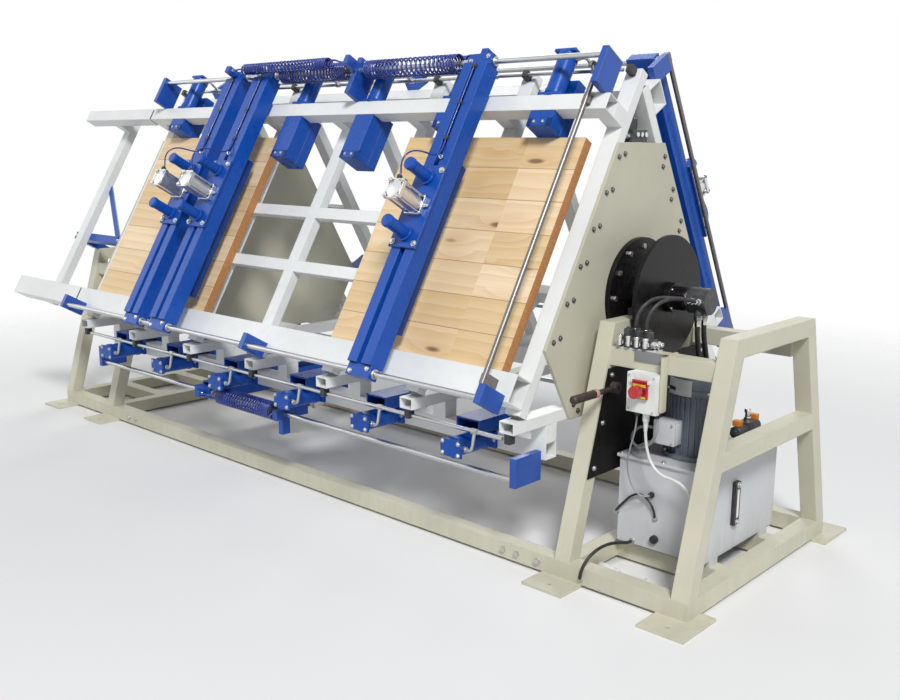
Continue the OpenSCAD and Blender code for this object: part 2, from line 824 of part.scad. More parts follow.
module lead_coil() {
    echo(lead_coil_least_gap = least_gap(hank_route, lead_r, loop_rings / 2));
    color("#c4c6c2") swept_tube(hank_route, lead_r, lead_sides, [0, 0, 1]);
}

module mains_plug() {
    color("#c4c6c2") bar_x(plug_end - [plug_len, 0, 0], plug_r, plug_len);
}

// Rotor ends
module end_plate_outline() {
    half_cut = (face_apothem - end_plate_cut * cos(60)) / sin(60);
    polygon([for (k = [0:2], side = [-1, 1])
        let (a = 90 + 120 * k)
        [end_plate_cut * cos(a) - side * half_cut * sin(a),
            end_plate_cut * sin(a) + side * half_cut * cos(a)]]);
}

module end_plates() {
    color("#bebca5")
        for (x = [-plate_x, rotor_x])
            translate([x, 0, axis_h]) rotate([90, 0, 90]) linear_extrude(end_plate_t) end_plate_outline();
    color("#bebca5") translate([inner_plate_x, 0, axis_h]) rotate([90, 0, 90])
        linear_extrude(end_plate_t) offset(delta = -inner_plate_gap) end_plate_outline();
}

module hub_flanges() {
    color("#151416") {
        for (x = [-flange_x, plate_x]) bar_x([x, 0, axis_h], flange_r, flange_t);
        difference() {
            bar_x([index_x, 0, axis_h], index_r, index_t);
            bar_x([index_x - overrun, 0, axis_h], shaft_r + run_gap, index_t + 2 * overrun);
        }
    }
}

module hub_bolts() {
    color("#b9bcc0")
        for (way = [-1, 1], k = [0:hub_bolt_count - 1])
            translate([way * flange_x, 0, axis_h])
                rotate([360 * k / hub_bolt_count, 0, 0])
                    translate([0, 0, hub_bolt_pcr]) rotate([0, way * 90, 0])
                        cylinder(r = hub_bolt_r, h = hub_bolt_h, $fn = hex_fn);
}

module stub_shafts() {
    color("#a9acb0") {
        bar_x([flange_x, 0, axis_h], shaft_r, shaft_end_x - flange_x);
        bar_x([shaft_end_x, 0, axis_h], spindle_r, spindle_len);
        bar_x([-idler_end_x, 0, axis_h], shaft_r, idler_end_x - flange_x);
    }
}

// Face frames
module slats(f) {
    color("#f0f2ee") on_face(f) {
        for (k = [0:slat_count - 1])
            tube_along_s(around(slat_x(k), slat_w), slat_s, slat_n, tube_wall);
        if (f == FRONT)
            for (k = [2, 3], share = cross_bar_shares)
                block([slat_x(k) + slat_w / 2 + shim_gap, slat_x(k + 1) - slat_w / 2 - shim_gap],
                    around(share * seat_s, cross_bar_h), [face_apothem - cross_bar_t, face_apothem]);
        for (span = stay_spans)
            block(span, around(0, cross_bar_h), [face_apothem - cross_bar_t, face_apothem - inner_plate_gap]);
    }
}

module fixed_jaw(f) {
    color("#f0f2ee") on_face(f) tube_along_x([-rotor_x, rotor_x], jaw_s, jaw_n, jaw_wall);
}

module press_rail(f) {
    color("#e4e7e4") on_face(f)
        union() {
            difference() {
                tube_along_x([-rotor_x, rotor_x], rail_span, rail_n, tube_wall);
                for (k = [0:unit_count - 1])
                    bar_y([unit_x(k), rail_span[0] - overrun, rail_mid_n], rod_r + free_gap,
                        rail_side + 2 * overrun);
            }
            for (k = [0:slat_count - 1])
                block(around(slat_x(k), slat_w), rail_span, [face_apothem, rail_n[0] - shim_gap]);
        }
}

module cylinders(f) {
    color("#194baa") on_face(f)
        for (k = [0:unit_count - 1])
            translate([unit_x(k), 0, 0])
                difference() {
                    union() {
                        block(around(0, ram_foot_w), [rail_span[1], rail_span[1] + ram_foot_h], rail_n);
                        bar_y([0, rail_span[1], rail_mid_n], ram_r, ram_s1 - rail_span[1]);
                        block(around(0, ram_cap_w), [ram_s1, ram_s1 + ram_cap_h], rail_n);
                    }
                    bar_y([0, rail_span[1] - overrun, rail_mid_n], rod_r + free_gap,
                        ram_s1 - rail_span[1] + overrun);
                }
}

module press_jaw(f, k, s) {
    x = unit_x(k);
    color("#194baa") on_face(f) {
        difference() {
            block(around(x, press_w), [s, s + press_len], press_n);
            block(around(x, press_w - 2 * press_wall), [s + press_floor, s + press_len + overrun],
                [press_n[0] + press_wall, press_n[1] - press_wall]);
        }
        block(around(x, nose_w), [s, s + nose_h], [press_n[1], nose_n]);
        bar_y([x, s + nose_h, rail_mid_n], rod_r, rod_len);
    }
}

module face_jaws(f) {
    for (k = [0:unit_count - 1]) press_jaw(f, k, press_closed_s);
}

module guide_rods() {
    over = guide_s + post_over;
    out = guide_n + post_over;
    color("#b4b7ba")
        for (f = [FRONT, BOTTOM, REAR]) on_face(f) {
            for (way = [-1, 1]) bar_x([guide_x[0], way * guide_s, guide_n], guide_r, guide_x[1] - guide_x[0]);
            difference() {
                union() {
                    for (x = post_x) {
                        block(around(x, post_t), [rail_span[1], over], [rail_mid_n, out]);
                        block(around(x, post_t), [-over, jaw_s[0] + post_over], [jaw_n[1], out]);
                    }
                    block(around(post_x[1], post_t), [over, lane_top[0] + lug_h / 2],
                        around(guide_n, 2 * post_over));
                    block(around(post_x[1], post_t), [guide_s - post_over, over],
                        [out, lane_front[1] + lug_h / 2]);
                }
                for (way = [-1, 1])
                    bar_x([guide_x[0] - overrun, way * guide_s, guide_n], guide_r + run_gap,
                        guide_x[1] - guide_x[0] + 2 * overrun);
            }
        }
}

module end_stop_bar() {
    color("#9fa3a8") on_face(FRONT) {
        bar_y([stop_x, stop_s[0], stop_n], stop_r, stop_s[1] - stop_s[0]);
        difference() {
            union() {
                block(around(stop_x, stop_clamp_w), around((jaw_s[0] + jaw_s[1]) / 2, stop_clamp_h),
                    [jaw_n[1], stop_n]);
                block(around(stop_x, stop_clamp_w), around((rail_span[0] + rail_span[1]) / 2, stop_clamp_h),
                    [rail_n[1], stop_n]);
            }
            bar_y([stop_x, stop_s[0] - overrun, stop_n], stop_r + run_gap,
                stop_s[1] - stop_s[0] + 2 * overrun);
        }
    }
    color("#9fa3a8") on_face(REAR) {
        bar_y([post_x[2], -rear_stop_s, rear_stop_n], stop_r, 2 * rear_stop_s);
        difference() {
            for (way = [-1, 1])
                block(around(post_x[2], rear_stop_clamp_w), around(way * guide_s, stop_clamp_h),
                    [guide_n + post_over, rear_stop_n]);
            bar_y([post_x[2], -rear_stop_s - overrun, rear_stop_n], stop_r + run_gap,
                2 * rear_stop_s + 2 * overrun);
        }
    }
}

module glued_panels() {
    color("#ebcd9b") on_face(FRONT)
        for (share = panel_shares) block(share * rotor_len, panel_s, [face_apothem, face_apothem + panel_t]);
}

// Hold-down beams with their air rams, and the shoes that they press down
module hold_beam(f, x, front_lug) {
    color("#194baa") on_face(f) translate([x, 0, 0]) {
        for (way = [-1, 1])
            tube_along_s(around(way * (beam_gap + beam_tube_w) / 2, beam_tube_w),
                [-beam_half_len, beam_half_len], beam_n, tube_wall);
        for (way = [-1, 1])
            difference() {
                block(around(0, beam_w), around(way * guide_s, beam_end_h), around(guide_n, 2 * guide_end_n));
                bar_x([-beam_w, way * guide_s, guide_n], guide_r + run_gap, 2 * beam_w);
            }
        if (front_lug)
            block(around(0, lug_w), around(lane_front[0], lug_h),
                [guide_n + guide_end_n, lane_front[1] + lug_h / 2]);
        else
            block(around(0, lug_w), [guide_s + guide_end_n, lane_top[0] + lug_h / 2], around(guide_n, lug_h));
        difference() {
            union() {
                block(around(0, mid_plate_w), around(0, mid_plate_h), [beam_n[1], plate_n]);
                bar_z([0, 0, plate_n], air_ram_r, air_ram_len);
                for (way = [-1, 1]) bar_z([0, way * guide_tube_s, plate_n], guide_tube_r, guide_tube_len);
            }
            bar_z([0, 0, beam_n[1] - overrun], shoe_rod_r + free_gap, plate_n - beam_n[1] + overrun
                + air_ram_len - bore_end);
            for (way = [-1, 1])
                bar_z([0, way * guide_tube_s, beam_n[1] - overrun], shoe_guide_r + free_gap,
                    plate_n - beam_n[1] + overrun + guide_tube_len - bore_end);
        }
    }
}

module shoe(f, x) {
    color("#1d3f8c") on_face(f) translate([x, 0, 0]) {
        block(around(0, shoe_w), [shoe_top_s - shoe_len, shoe_top_s], shoe_n);
        bar_z([0, 0, shoe_n[1]], shoe_rod_r, shoe_rod_len);
        for (way = [-1, 1]) bar_z([0, way * guide_tube_s, shoe_n[1]], shoe_guide_r, shoe_rod_len);
    }
}

// Curly air hoses
function ramp(t) = (t < ramp_share ? t * t / (2 * ramp_share)
    : t > 1 - ramp_share ? 1 - ramp_share - (1 - t) * (1 - t) / (2 * ramp_share)
    : t - ramp_share / 2) / (1 - ramp_share);
function lane_curl(h, t) =
    let (way = sign(h[2] - h[1]), x0 = h[1] + way * curl_lead, x1 = h[2] - way * curl_lead,
        swell = lane_curl_r * min(1, 3 * h[3] * min(t, 1 - t)), a = 360 * h[3] * t)
    [x0 + (x1 - x0) * t, lane_front[0] + swell * sin(a), lane_front[1] + swell * cos(a)];
function rod_curl(h, t) =
    let (way = sign(h[2] - h[1]), x0 = h[1] + way * curl_lead,
        x1 = h[2] - way * (curl_lead + (beam_w - lug_w) / 2), a = 360 * h[3] * ramp(t))
    [x0 + (x1 - x0) * t, guide_s + rod_curl_r * cos(a), guide_n + rod_curl_r * sin(a)];
function hose_route(h, lane) = concat([[h[1], lane[0], lane[1]]],
    [for (i = [0:h[3] * curl_rings]) let (t = i / (h[3] * curl_rings))
        lane == lane_front ? lane_curl(h, t) : rod_curl(h, t)],
    [[h[2], lane[0], lane[1]]]);

module air_hose(k) {
    h = hose_table[k];
    route = hose_route(h, k == LANE_HOSE ? lane_front : lane_top);
    echo(air_hose_least_gap = least_gap(route, hose_r, curl_rings / 2));
    color("#194baa") on_face(h[0]) swept_tube(route, hose_r, hose_sides, [0, 0, 1]);
}

left_stand();
right_stand();
floor_rails();
splice_bolts();
shaft_bearings();
bearing_shield();
oil_tank();
pump_motor();
valve_block();
tank_fittings();
switch_box();
switch_flap();
stop_button();
lock_lever();
union_body();
supply_hoses();
wing_frame();
wing_stay();
mains_lead();
lead_coil();
mains_plug();
end_plates();
hub_flanges();
hub_bolts();
stub_shafts();
guide_rods();
end_stop_bar();
glued_panels();
fixed_jaw(FRONT);  // front_fixed_jaw
press_rail(FRONT);  // front_press_rail
union() {  // bottom_rails
    fixed_jaw(BOTTOM);
    press_rail(BOTTOM);
}
union() {  // rear_rails
    fixed_jaw(REAR);
    press_rail(REAR);
}
face_jaws(BOTTOM);  // bottom_jaws
face_jaws(REAR);  // rear_jaws
hold_beam(REAR, rear_beam_x, false);  // rear_beam
shoe(REAR, rear_beam_x);  // rear_shoe
hold_beam(BOTTOM, bottom_beam_x, false);  // bottom_beam
shoe(BOTTOM, bottom_beam_x);  // bottom_shoe
for (f = [FRONT, BOTTOM, REAR]) {
    slats(f);
    cylinders(f);
}
for (k = [0:unit_count - 1])
    press_jaw(FRONT, k, front_press_s[k]);
for (k = [0:len(front_beam_x) - 1]) {
    hold_beam(FRONT, front_beam_x[k], k == 0);
    shoe(FRONT, front_beam_x[k]);
}
for (k = [0:len(hose_table) - 1])
    air_hose(k);
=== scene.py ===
import math

import bmesh
import bpy
from mathutils import Matrix, Vector


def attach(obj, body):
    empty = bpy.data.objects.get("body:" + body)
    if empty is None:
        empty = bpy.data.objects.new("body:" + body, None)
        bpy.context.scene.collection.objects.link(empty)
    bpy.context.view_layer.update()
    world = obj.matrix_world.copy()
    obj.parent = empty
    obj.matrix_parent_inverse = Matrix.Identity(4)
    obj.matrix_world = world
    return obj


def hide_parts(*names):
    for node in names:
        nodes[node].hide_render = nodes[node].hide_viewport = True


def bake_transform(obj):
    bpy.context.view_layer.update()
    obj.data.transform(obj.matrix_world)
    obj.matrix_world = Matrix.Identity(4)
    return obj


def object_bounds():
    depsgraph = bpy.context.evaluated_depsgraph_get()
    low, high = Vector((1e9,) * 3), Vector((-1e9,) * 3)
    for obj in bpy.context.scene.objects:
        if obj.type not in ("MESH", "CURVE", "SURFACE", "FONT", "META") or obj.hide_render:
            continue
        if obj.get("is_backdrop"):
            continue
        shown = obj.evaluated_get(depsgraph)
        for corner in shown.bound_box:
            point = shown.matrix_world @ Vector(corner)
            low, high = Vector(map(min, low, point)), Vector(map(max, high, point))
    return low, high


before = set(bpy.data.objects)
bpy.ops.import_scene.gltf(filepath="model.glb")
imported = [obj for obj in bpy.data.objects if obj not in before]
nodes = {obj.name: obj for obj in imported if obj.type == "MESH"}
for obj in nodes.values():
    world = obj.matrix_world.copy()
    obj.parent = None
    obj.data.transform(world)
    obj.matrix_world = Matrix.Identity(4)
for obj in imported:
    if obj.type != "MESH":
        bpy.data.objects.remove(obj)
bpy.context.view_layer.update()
scene = bpy.context.scene
MM = 0.001
WORLD = Matrix.Scale(MM, 4)
# Rotor in millimetres: its axis, its length and the angles of its three faces
AXIS_Z, ROTOR_LEN = 910.0, 2776.0
FACES = FRONT, BOTTOM, REAR = 0, 1, 2
FACE_ANGLES = (60.0, 180.0, 300.0)
FACE_NAMES = ("front", "bottom", "rear")
# Directions in the frame of a face, and in the frame of the base
ALONG, UP, OUT = (1, 0, 0), (0, 1, 0), (0, 0, 1)
LEFT, FORWARD, SKY, FLOOR = (-1, 0, 0), (0, -1, 0), (0, 0, 1), (0, 0, -1)


def face_matrix(face):
    """Millimetres along the rotor, up the face and out of it, to the row frame in metres."""
    turn = Matrix.Rotation(math.radians(FACE_ANGLES[face]), 4, "X")
    return WORLD @ Matrix.Translation((0, 0, AXIS_Z)) @ turn


# Camera
CAMERA_AT, CAMERA_TURN = (3.2907, -3.0427, 1.4176), (42.52, -11.54, 0.39)
PHOTO_WIDTH, FOCAL_LENGTH, SENSOR_WIDTH = 900.0, 997.12, 36.0


def look(position, yaw, pitch, roll):
    a, e = math.radians(yaw), math.radians(pitch)
    ahead = Vector((-math.sin(a) * math.cos(e), math.cos(a) * math.cos(e), math.sin(e)))
    turn = ahead.to_track_quat("-Z", "Y") @ Matrix.Rotation(math.radians(roll), 4, "Z").to_quaternion()
    cam = bpy.data.cameras.new("camera")
    cam.sensor_width = SENSOR_WIDTH
    cam.lens = FOCAL_LENGTH / PHOTO_WIDTH * SENSOR_WIDTH
    cam.clip_end = 200.0
    obj = bpy.data.objects.new("camera", cam)
    obj.location = position
    obj.rotation_mode = "QUATERNION"
    obj.rotation_quaternion = turn
    scene.collection.objects.link(obj)
    scene.camera = obj


look(CAMERA_AT, *CAMERA_TURN)


# Materials
class Nodes:
    """A small builder of shader nodes."""

    def __init__(self, name):
        self.mat = bpy.data.materials.new(name)
        self.mat.use_nodes = True
        self.tree = self.mat.node_tree
        self.tree.nodes.clear()
        self.out = self.add("ShaderNodeOutputMaterial")
        self.bsdf = self.add("ShaderNodeBsdfPrincipled")
        self.link(self.bsdf.outputs["BSDF"], self.out.inputs["Surface"])

    def add(self, kind, **values):
        node = self.tree.nodes.new(kind)
        for key, value in values.items():
            setattr(node, key, value)
        return node

    def link(self, a, b):
        self.tree.links.new(a, b)

    def set(self, **values):
        for key, value in values.items():
            self.bsdf.inputs[key.replace("_", " ")].default_value = value

    def coords(self):
        if not hasattr(self, "coord"):
            self.coord = self.add("ShaderNodeTexCoord")
        return self.coord.outputs["Object"]

    def stretched(self, scale, rotation=(0, 0, 0), vector=None):
        node = self.add("ShaderNodeMapping")
        node.inputs["Scale"].default_value = scale
        node.inputs["Rotation"].default_value = rotation
        self.link(vector or self.coords(), node.inputs["Vector"])
        return node.outputs["Vector"]

    def noise(self, scale, detail=3.0, rough=0.55, vector=None, distortion=0.0):
        node = self.add("ShaderNodeTexNoise")
        node.inputs["Scale"].default_value = scale
        node.inputs["Detail"].default_value = detail
        node.inputs["Roughness"].default_value = rough
        node.inputs["Distortion"].default_value = distortion
        self.link(vector or self.coords(), node.inputs["Vector"])
        return node.outputs["Fac"]

    def ramp(self, fac, low, high):
        node = self.add("ShaderNodeMapRange")
        node.inputs["From Min"].default_value = low[0]
        node.inputs["From Max"].default_value = high[0]
        node.inputs["To Min"].default_value = low[1]
        node.inputs["To Max"].default_value = high[1]
        self.link(fac, node.inputs["Value"])
        return node.outputs["Result"]

    def math(self, op, a, b=None):
        node = self.add("ShaderNodeMath", operation=op)
        for i, v in enumerate((a, b)):
            if v is None:
                continue
            if isinstance(v, (int, float)):
                node.inputs[i].default_value = v
            else:
                self.link(v, node.inputs[i])
        return node.outputs[0]

    def mix(self, fac, a, b, mode="MIX"):
        node = self.add("ShaderNodeMix", data_type="RGBA", blend_type=mode)
        for socket, v in ((node.inputs[0], fac), (node.inputs[6], a), (node.inputs[7], b)):
            if isinstance(v, (int, float)):
                socket.default_value = v
            elif isinstance(v, tuple):
                socket.default_value = (*v, 1.0) if len(v) == 3 else v
            else:
                self.link(v, socket)
        return node.outputs[2]

    def rounded(self, radius):
        node = self.add("ShaderNodeBevel", samples=4)
        node.inputs["Radius"].default_value = radius
        return node.outputs["Normal"]

    def edge(self, normal, low=0.02, high=0.2):
        """A mask that is 1 along rounded edges."""
        geo = self.add("ShaderNodeNewGeometry")
        dot = self.add("ShaderNodeVectorMath", operation="DOT_PRODUCT")
        self.link(normal, dot.inputs[0])
        self.link(geo.outputs["Normal"], dot.inputs[1])
        return self.ramp(self.math("SUBTRACT", 1.0, dot.outputs["Value"]), (low, 0.0), (high, 1.0))

    def bump(self, height, strength, distance, normal=None):
        node = self.add("ShaderNodeBump")
        node.inputs["Strength"].default_value = strength
        node.inputs["Distance"].default_value = distance
        self.link(height, node.inputs["Height"])
        if normal is not None:
            self.link(normal, node.inputs["Normal"])
        self.link(node.outputs["Normal"], self.bsdf.inputs["Normal"])


def tint(rgb, k):
    return tuple(min(1.0, c * k) for c in rgb)


DUST, PLASTIC_DUST, GRIME = (0.52, 0.5, 0.46), (0.45, 0.43, 0.4), (0.2, 0.17, 0.13)


def paint(name, rgb, rough=0.38, edge_wear_and_highlight_rgb=None, edge_wear_and_highlight_amount=0.5, radius=0.003, grime=0.0, coat=0.0,
          dust=0.12, sheen=0.5):
    """Brushed or powder-coated paint with orange peel, soft blotches, dust, and lighter edges that are partly
    worn paint and partly a painted highlight.
    """
    n = Nodes(name)
    blotch = n.noise(2.2, 4.0)
    fine = n.noise(38.0, 5.0, 0.62)
    color = n.mix(n.ramp(blotch, (0.3, 0.0), (0.72, 1.0)), tint(rgb, 0.88), tint(rgb, 1.07))
    color = n.mix(n.math("MULTIPLY", n.ramp(fine, (0.48, 0.0), (0.8, 1.0)), dust), color, DUST)
    normal = n.rounded(radius)
    edges = n.edge(normal)
    # Rounded edges take a lighter colour broken by noise: partly worn paint, partly a painted highlight.
    if edge_wear_and_highlight_rgb:
        broken = n.ramp(n.noise(16.0, 3.0), (0.36, 0.25), (0.66, 1.0))
        color = n.mix(n.math("MULTIPLY", n.math("MULTIPLY", edges, broken), edge_wear_and_highlight_amount), color, edge_wear_and_highlight_rgb)
    if grime:
        sep = n.add("ShaderNodeSeparateXYZ")
        n.link(n.coords(), sep.inputs[0])
        low = n.ramp(sep.outputs["Z"], (0.0, 1.0), (0.24, 0.0))
        streak = n.ramp(n.noise(1.0, 4.0, 0.6, n.stretched((26.0, 26.0, 2.0))), (0.42, 0.0), (0.74, 1.0))
        color = n.mix(n.math("MULTIPLY", n.math("MULTIPLY", low, streak), grime), color, GRIME)
    n.link(color, n.bsdf.inputs["Base Color"])
    n.link(n.ramp(fine, (0.3, rough - 0.07), (0.75, rough + 0.12)), n.bsdf.inputs["Roughness"])
    n.set(Coat_Weight=coat, Coat_Roughness=0.12, Specular_IOR_Level=sheen)
    n.bump(n.noise(520.0, 2.0), 0.06, 0.0006, normal)
    return n.mat


def steel(name, rgb, rough=0.28, along=(1.0, 60.0, 60.0)):
    """Bare metal brushed along one direction, with dull spots."""
    n = Nodes(name)
    brush = n.noise(14.0, 4.0, 0.6, n.stretched(along))
    spots = n.noise(26.0, 4.0)
    color = n.mix(n.ramp(brush, (0.3, 0.0), (0.7, 1.0)), tint(rgb, 0.8), tint(rgb, 1.1))
    color = n.mix(n.math("MULTIPLY", n.ramp(spots, (0.6, 0.0), (0.8, 1.0)), 0.35), color, tint(rgb, 0.5))
    n.link(color, n.bsdf.inputs["Base Color"])
    n.link(n.ramp(brush, (0.25, rough - 0.08), (0.75, rough + 0.14)), n.bsdf.inputs["Roughness"])
    n.set(Metallic=1.0)
    n.bump(brush, 0.12, 0.0004, n.rounded(0.0012))
    return n.mat


def plastic(name, rgb, rough=0.45, coat=0.0, strength=0.12):
    """Moulded plastic or rubber with a fine grain and a little dust."""
    n = Nodes(name)
    soft = n.noise(9.0, 4.0)
    color = n.mix(n.ramp(soft, (0.3, 0.0), (0.7, 1.0)), tint(rgb, 0.82), tint(rgb, 1.12))
    dusty = n.ramp(n.noise(60.0, 5.0, 0.65), (0.52, 0.0), (0.85, 0.16))
    n.link(n.mix(dusty, color, PLASTIC_DUST), n.bsdf.inputs["Base Color"])
    n.link(n.ramp(soft, (0.3, rough - 0.06), (0.7, rough + 0.1)), n.bsdf.inputs["Roughness"])
    n.set(Coat_Weight=coat, Coat_Roughness=0.1)
    n.bump(n.noise(900.0, 2.0), strength, 0.0003, n.rounded(0.0015))
    return n.mat


# Boards of the panels in metres: lower edge of the first, width, and where they are jointed lengthwise
BOARD_FOOT, BOARD_WIDTH, PIECE_SHIFT, PIECE_LENGTH = 0.491, 0.1239, 3.0, 1.35


def spruce(name):
    """Glued boards that run along the rotor, with grain, knots, joints and brown sawn ends."""
    n = Nodes(name)
    lift = n.add("ShaderNodeVectorMath", operation="SUBTRACT")
    lift.inputs[1].default_value = (0, 0, AXIS_Z * MM)
    n.link(n.coords(), lift.inputs[0])
    face = n.stretched((1, 1, 1), (math.radians(-FACE_ANGLES[FRONT]), 0, 0), lift.outputs[0])
    sep = n.add("ShaderNodeSeparateXYZ")
    n.link(face, sep.inputs[0])
    board = n.math("DIVIDE", n.math("ADD", sep.outputs["Y"], BOARD_FOOT), BOARD_WIDTH)
    index = n.math("FLOOR", board)
    part = n.math("FRACT", board)
    piece = n.math("FLOOR", n.math("DIVIDE", n.math("ADD", sep.outputs["X"], PIECE_SHIFT), PIECE_LENGTH))
    seed = n.add("ShaderNodeCombineXYZ")
    n.link(index, seed.inputs[0])
    n.link(piece, seed.inputs[1])
    rand = n.add("ShaderNodeTexWhiteNoise", noise_dimensions="3D")
    n.link(seed.outputs[0], rand.inputs["Vector"])
    shift = n.add("ShaderNodeVectorMath", operation="SCALE")
    n.link(rand.outputs["Color"], shift.inputs[0])
    shift.inputs["Scale"].default_value = 37.0
    moved = n.add("ShaderNodeVectorMath", operation="ADD")
    n.link(face, moved.inputs[0])
    n.link(shift.outputs[0], moved.inputs[1])
    # Knots bend the grain around them
    cell = n.add("ShaderNodeTexVoronoi", feature="F1")
    cell.inputs["Scale"].default_value = 1.0
    cell.inputs["Randomness"].default_value = 1.0
    n.link(n.stretched((2.3, 8.2, 0.4), vector=moved.outputs[0]), cell.inputs["Vector"])
    near = n.ramp(cell.outputs["Distance"], (0.0, 1.0), (0.34, 0.0))
    knot = n.ramp(cell.outputs["Distance"], (0.055, 1.0), (0.11, 0.0))
    warp = n.noise(2.6, 2.0, 0.5, n.stretched((0.5, 5.0, 5.0), vector=moved.outputs[0]))
    rings = n.add("ShaderNodeTexWave", wave_type="BANDS", bands_direction="Y", wave_profile="SAW")
    rings.inputs["Scale"].default_value = 7.5
    rings.inputs["Distortion"].default_value = 5.5
    rings.inputs["Detail"].default_value = 2.0
    rings.inputs["Detail Scale"].default_value = 0.7
    bent = n.add("ShaderNodeCombineXYZ")
    sep2 = n.add("ShaderNodeSeparateXYZ")
    n.link(n.stretched((0.16, 1.0, 1.0), vector=moved.outputs[0]), sep2.inputs[0])
    n.link(sep2.outputs["X"], bent.inputs[0])
    n.link(n.math("ADD", sep2.outputs["Y"], n.math("MULTIPLY", near, 0.05)), bent.inputs[1])
    n.link(sep2.outputs["Z"], bent.inputs[2])
    n.link(bent.outputs[0], rings.inputs["Vector"])
    fibre = n.noise(1.0, 5.0, 0.65, n.stretched((7.0, 420.0, 420.0), vector=moved.outputs[0]))
    pale, mid, dark = (0.86, 0.66, 0.4), (0.76, 0.53, 0.28), (0.6, 0.36, 0.16)
    color = n.mix(n.ramp(rings.outputs["Fac"], (0.2, 0.0), (1.0, 0.75)), pale, mid)
    color = n.mix(n.ramp(fibre, (0.45, 0.0), (0.75, 0.35)), color, dark)
    color = n.mix(n.ramp(warp, (0.45, 0.0), (0.8, 0.3)), color, (0.82, 0.56, 0.3))
    value = n.add("ShaderNodeHueSaturation")
    n.link(n.ramp(rand.outputs["Value"], (0.0, 0.86), (1.0, 1.1)), value.inputs["Value"])
    n.link(n.ramp(rand.outputs["Value"], (0.0, 1.12), (1.0, 0.85)), value.inputs["Saturation"])
    n.link(color, value.inputs["Color"])
    color = n.mix(n.math("MULTIPLY", near, 0.3), value.outputs["Color"], (0.55, 0.3, 0.12))
    color = n.mix(n.math("MULTIPLY", knot, 0.85), color, (0.17, 0.075, 0.03))
    gap = n.math("MINIMUM", part, n.math("SUBTRACT", 1.0, part))
    joint = n.ramp(gap, (0.006, 1.0), (0.016, 0.0))
    color = n.mix(n.math("MULTIPLY", joint, 0.75), color, (0.3, 0.17, 0.08))
    # Sawn ends are darker and browner
    normal = n.add("ShaderNodeSeparateXYZ")
    n.link(n.coord.outputs["Normal"], normal.inputs[0])
    end = n.ramp(n.math("ABSOLUTE", normal.outputs["X"]), (0.7, 0.0), (0.95, 1.0))
    pores = n.noise(240.0, 4.0)
    ends = n.mix(n.ramp(pores, (0.35, 0.0), (0.7, 1.0)), (0.36, 0.15, 0.05), (0.56, 0.27, 0.1))
    n.link(n.mix(end, color, ends), n.bsdf.inputs["Base Color"])
    n.link(n.ramp(fibre, (0.3, 0.42), (0.7, 0.6)), n.bsdf.inputs["Roughness"])
    n.bump(n.math("SUBTRACT", fibre, n.math("MULTIPLY", joint, 3.0)), 0.25, 0.0008, n.rounded(0.002))
    return n.mat


# Posts along the guide rods in metres: their places, and half their thickness with its soft edge
POST_PLACES, POST_EDGE = (-1.288, 0.1499, 1.358), (0.0121, 0.0125)


def rods_and_posts(name, rgb):
    """Bright rods, and painted posts where the posts stand along the rods."""
    n = Nodes(name)
    sep = n.add("ShaderNodeSeparateXYZ")
    n.link(n.coords(), sep.inputs[0])
    post = None
    for x in POST_PLACES:
        away = n.math("ABSOLUTE", n.math("SUBTRACT", sep.outputs["X"], x))
        near = n.ramp(away, (POST_EDGE[0], 1.0), (POST_EDGE[1], 0.0))
        post = near if post is None else n.math("MAXIMUM", post, near)
    brush = n.noise(14.0, 4.0, 0.6, n.stretched((1.0, 60.0, 60.0)))
    soft = n.noise(12.0, 4.0)
    bright = n.mix(n.ramp(brush, (0.3, 0.0), (0.7, 1.0)), (0.4, 0.41, 0.42), (0.58, 0.59, 0.6))
    painted = n.mix(n.ramp(soft, (0.3, 0.0), (0.7, 1.0)), tint(rgb, 0.85), tint(rgb, 1.1))
    normal = n.rounded(0.003)
    # Edges of the posts turn a lighter blue: partly worn paint, partly a painted highlight.
    painted = n.mix(n.math("MULTIPLY", n.edge(normal), 0.5), painted, (0.09, 0.2, 0.62))
    n.link(n.mix(post, bright, painted), n.bsdf.inputs["Base Color"])
    n.link(n.math("SUBTRACT", 1.0, post), n.bsdf.inputs["Metallic"])
    n.link(n.ramp(soft, (0.3, 0.24), (0.7, 0.4)), n.bsdf.inputs["Roughness"])
    n.bump(brush, 0.1, 0.0004, normal)
    return n.mat


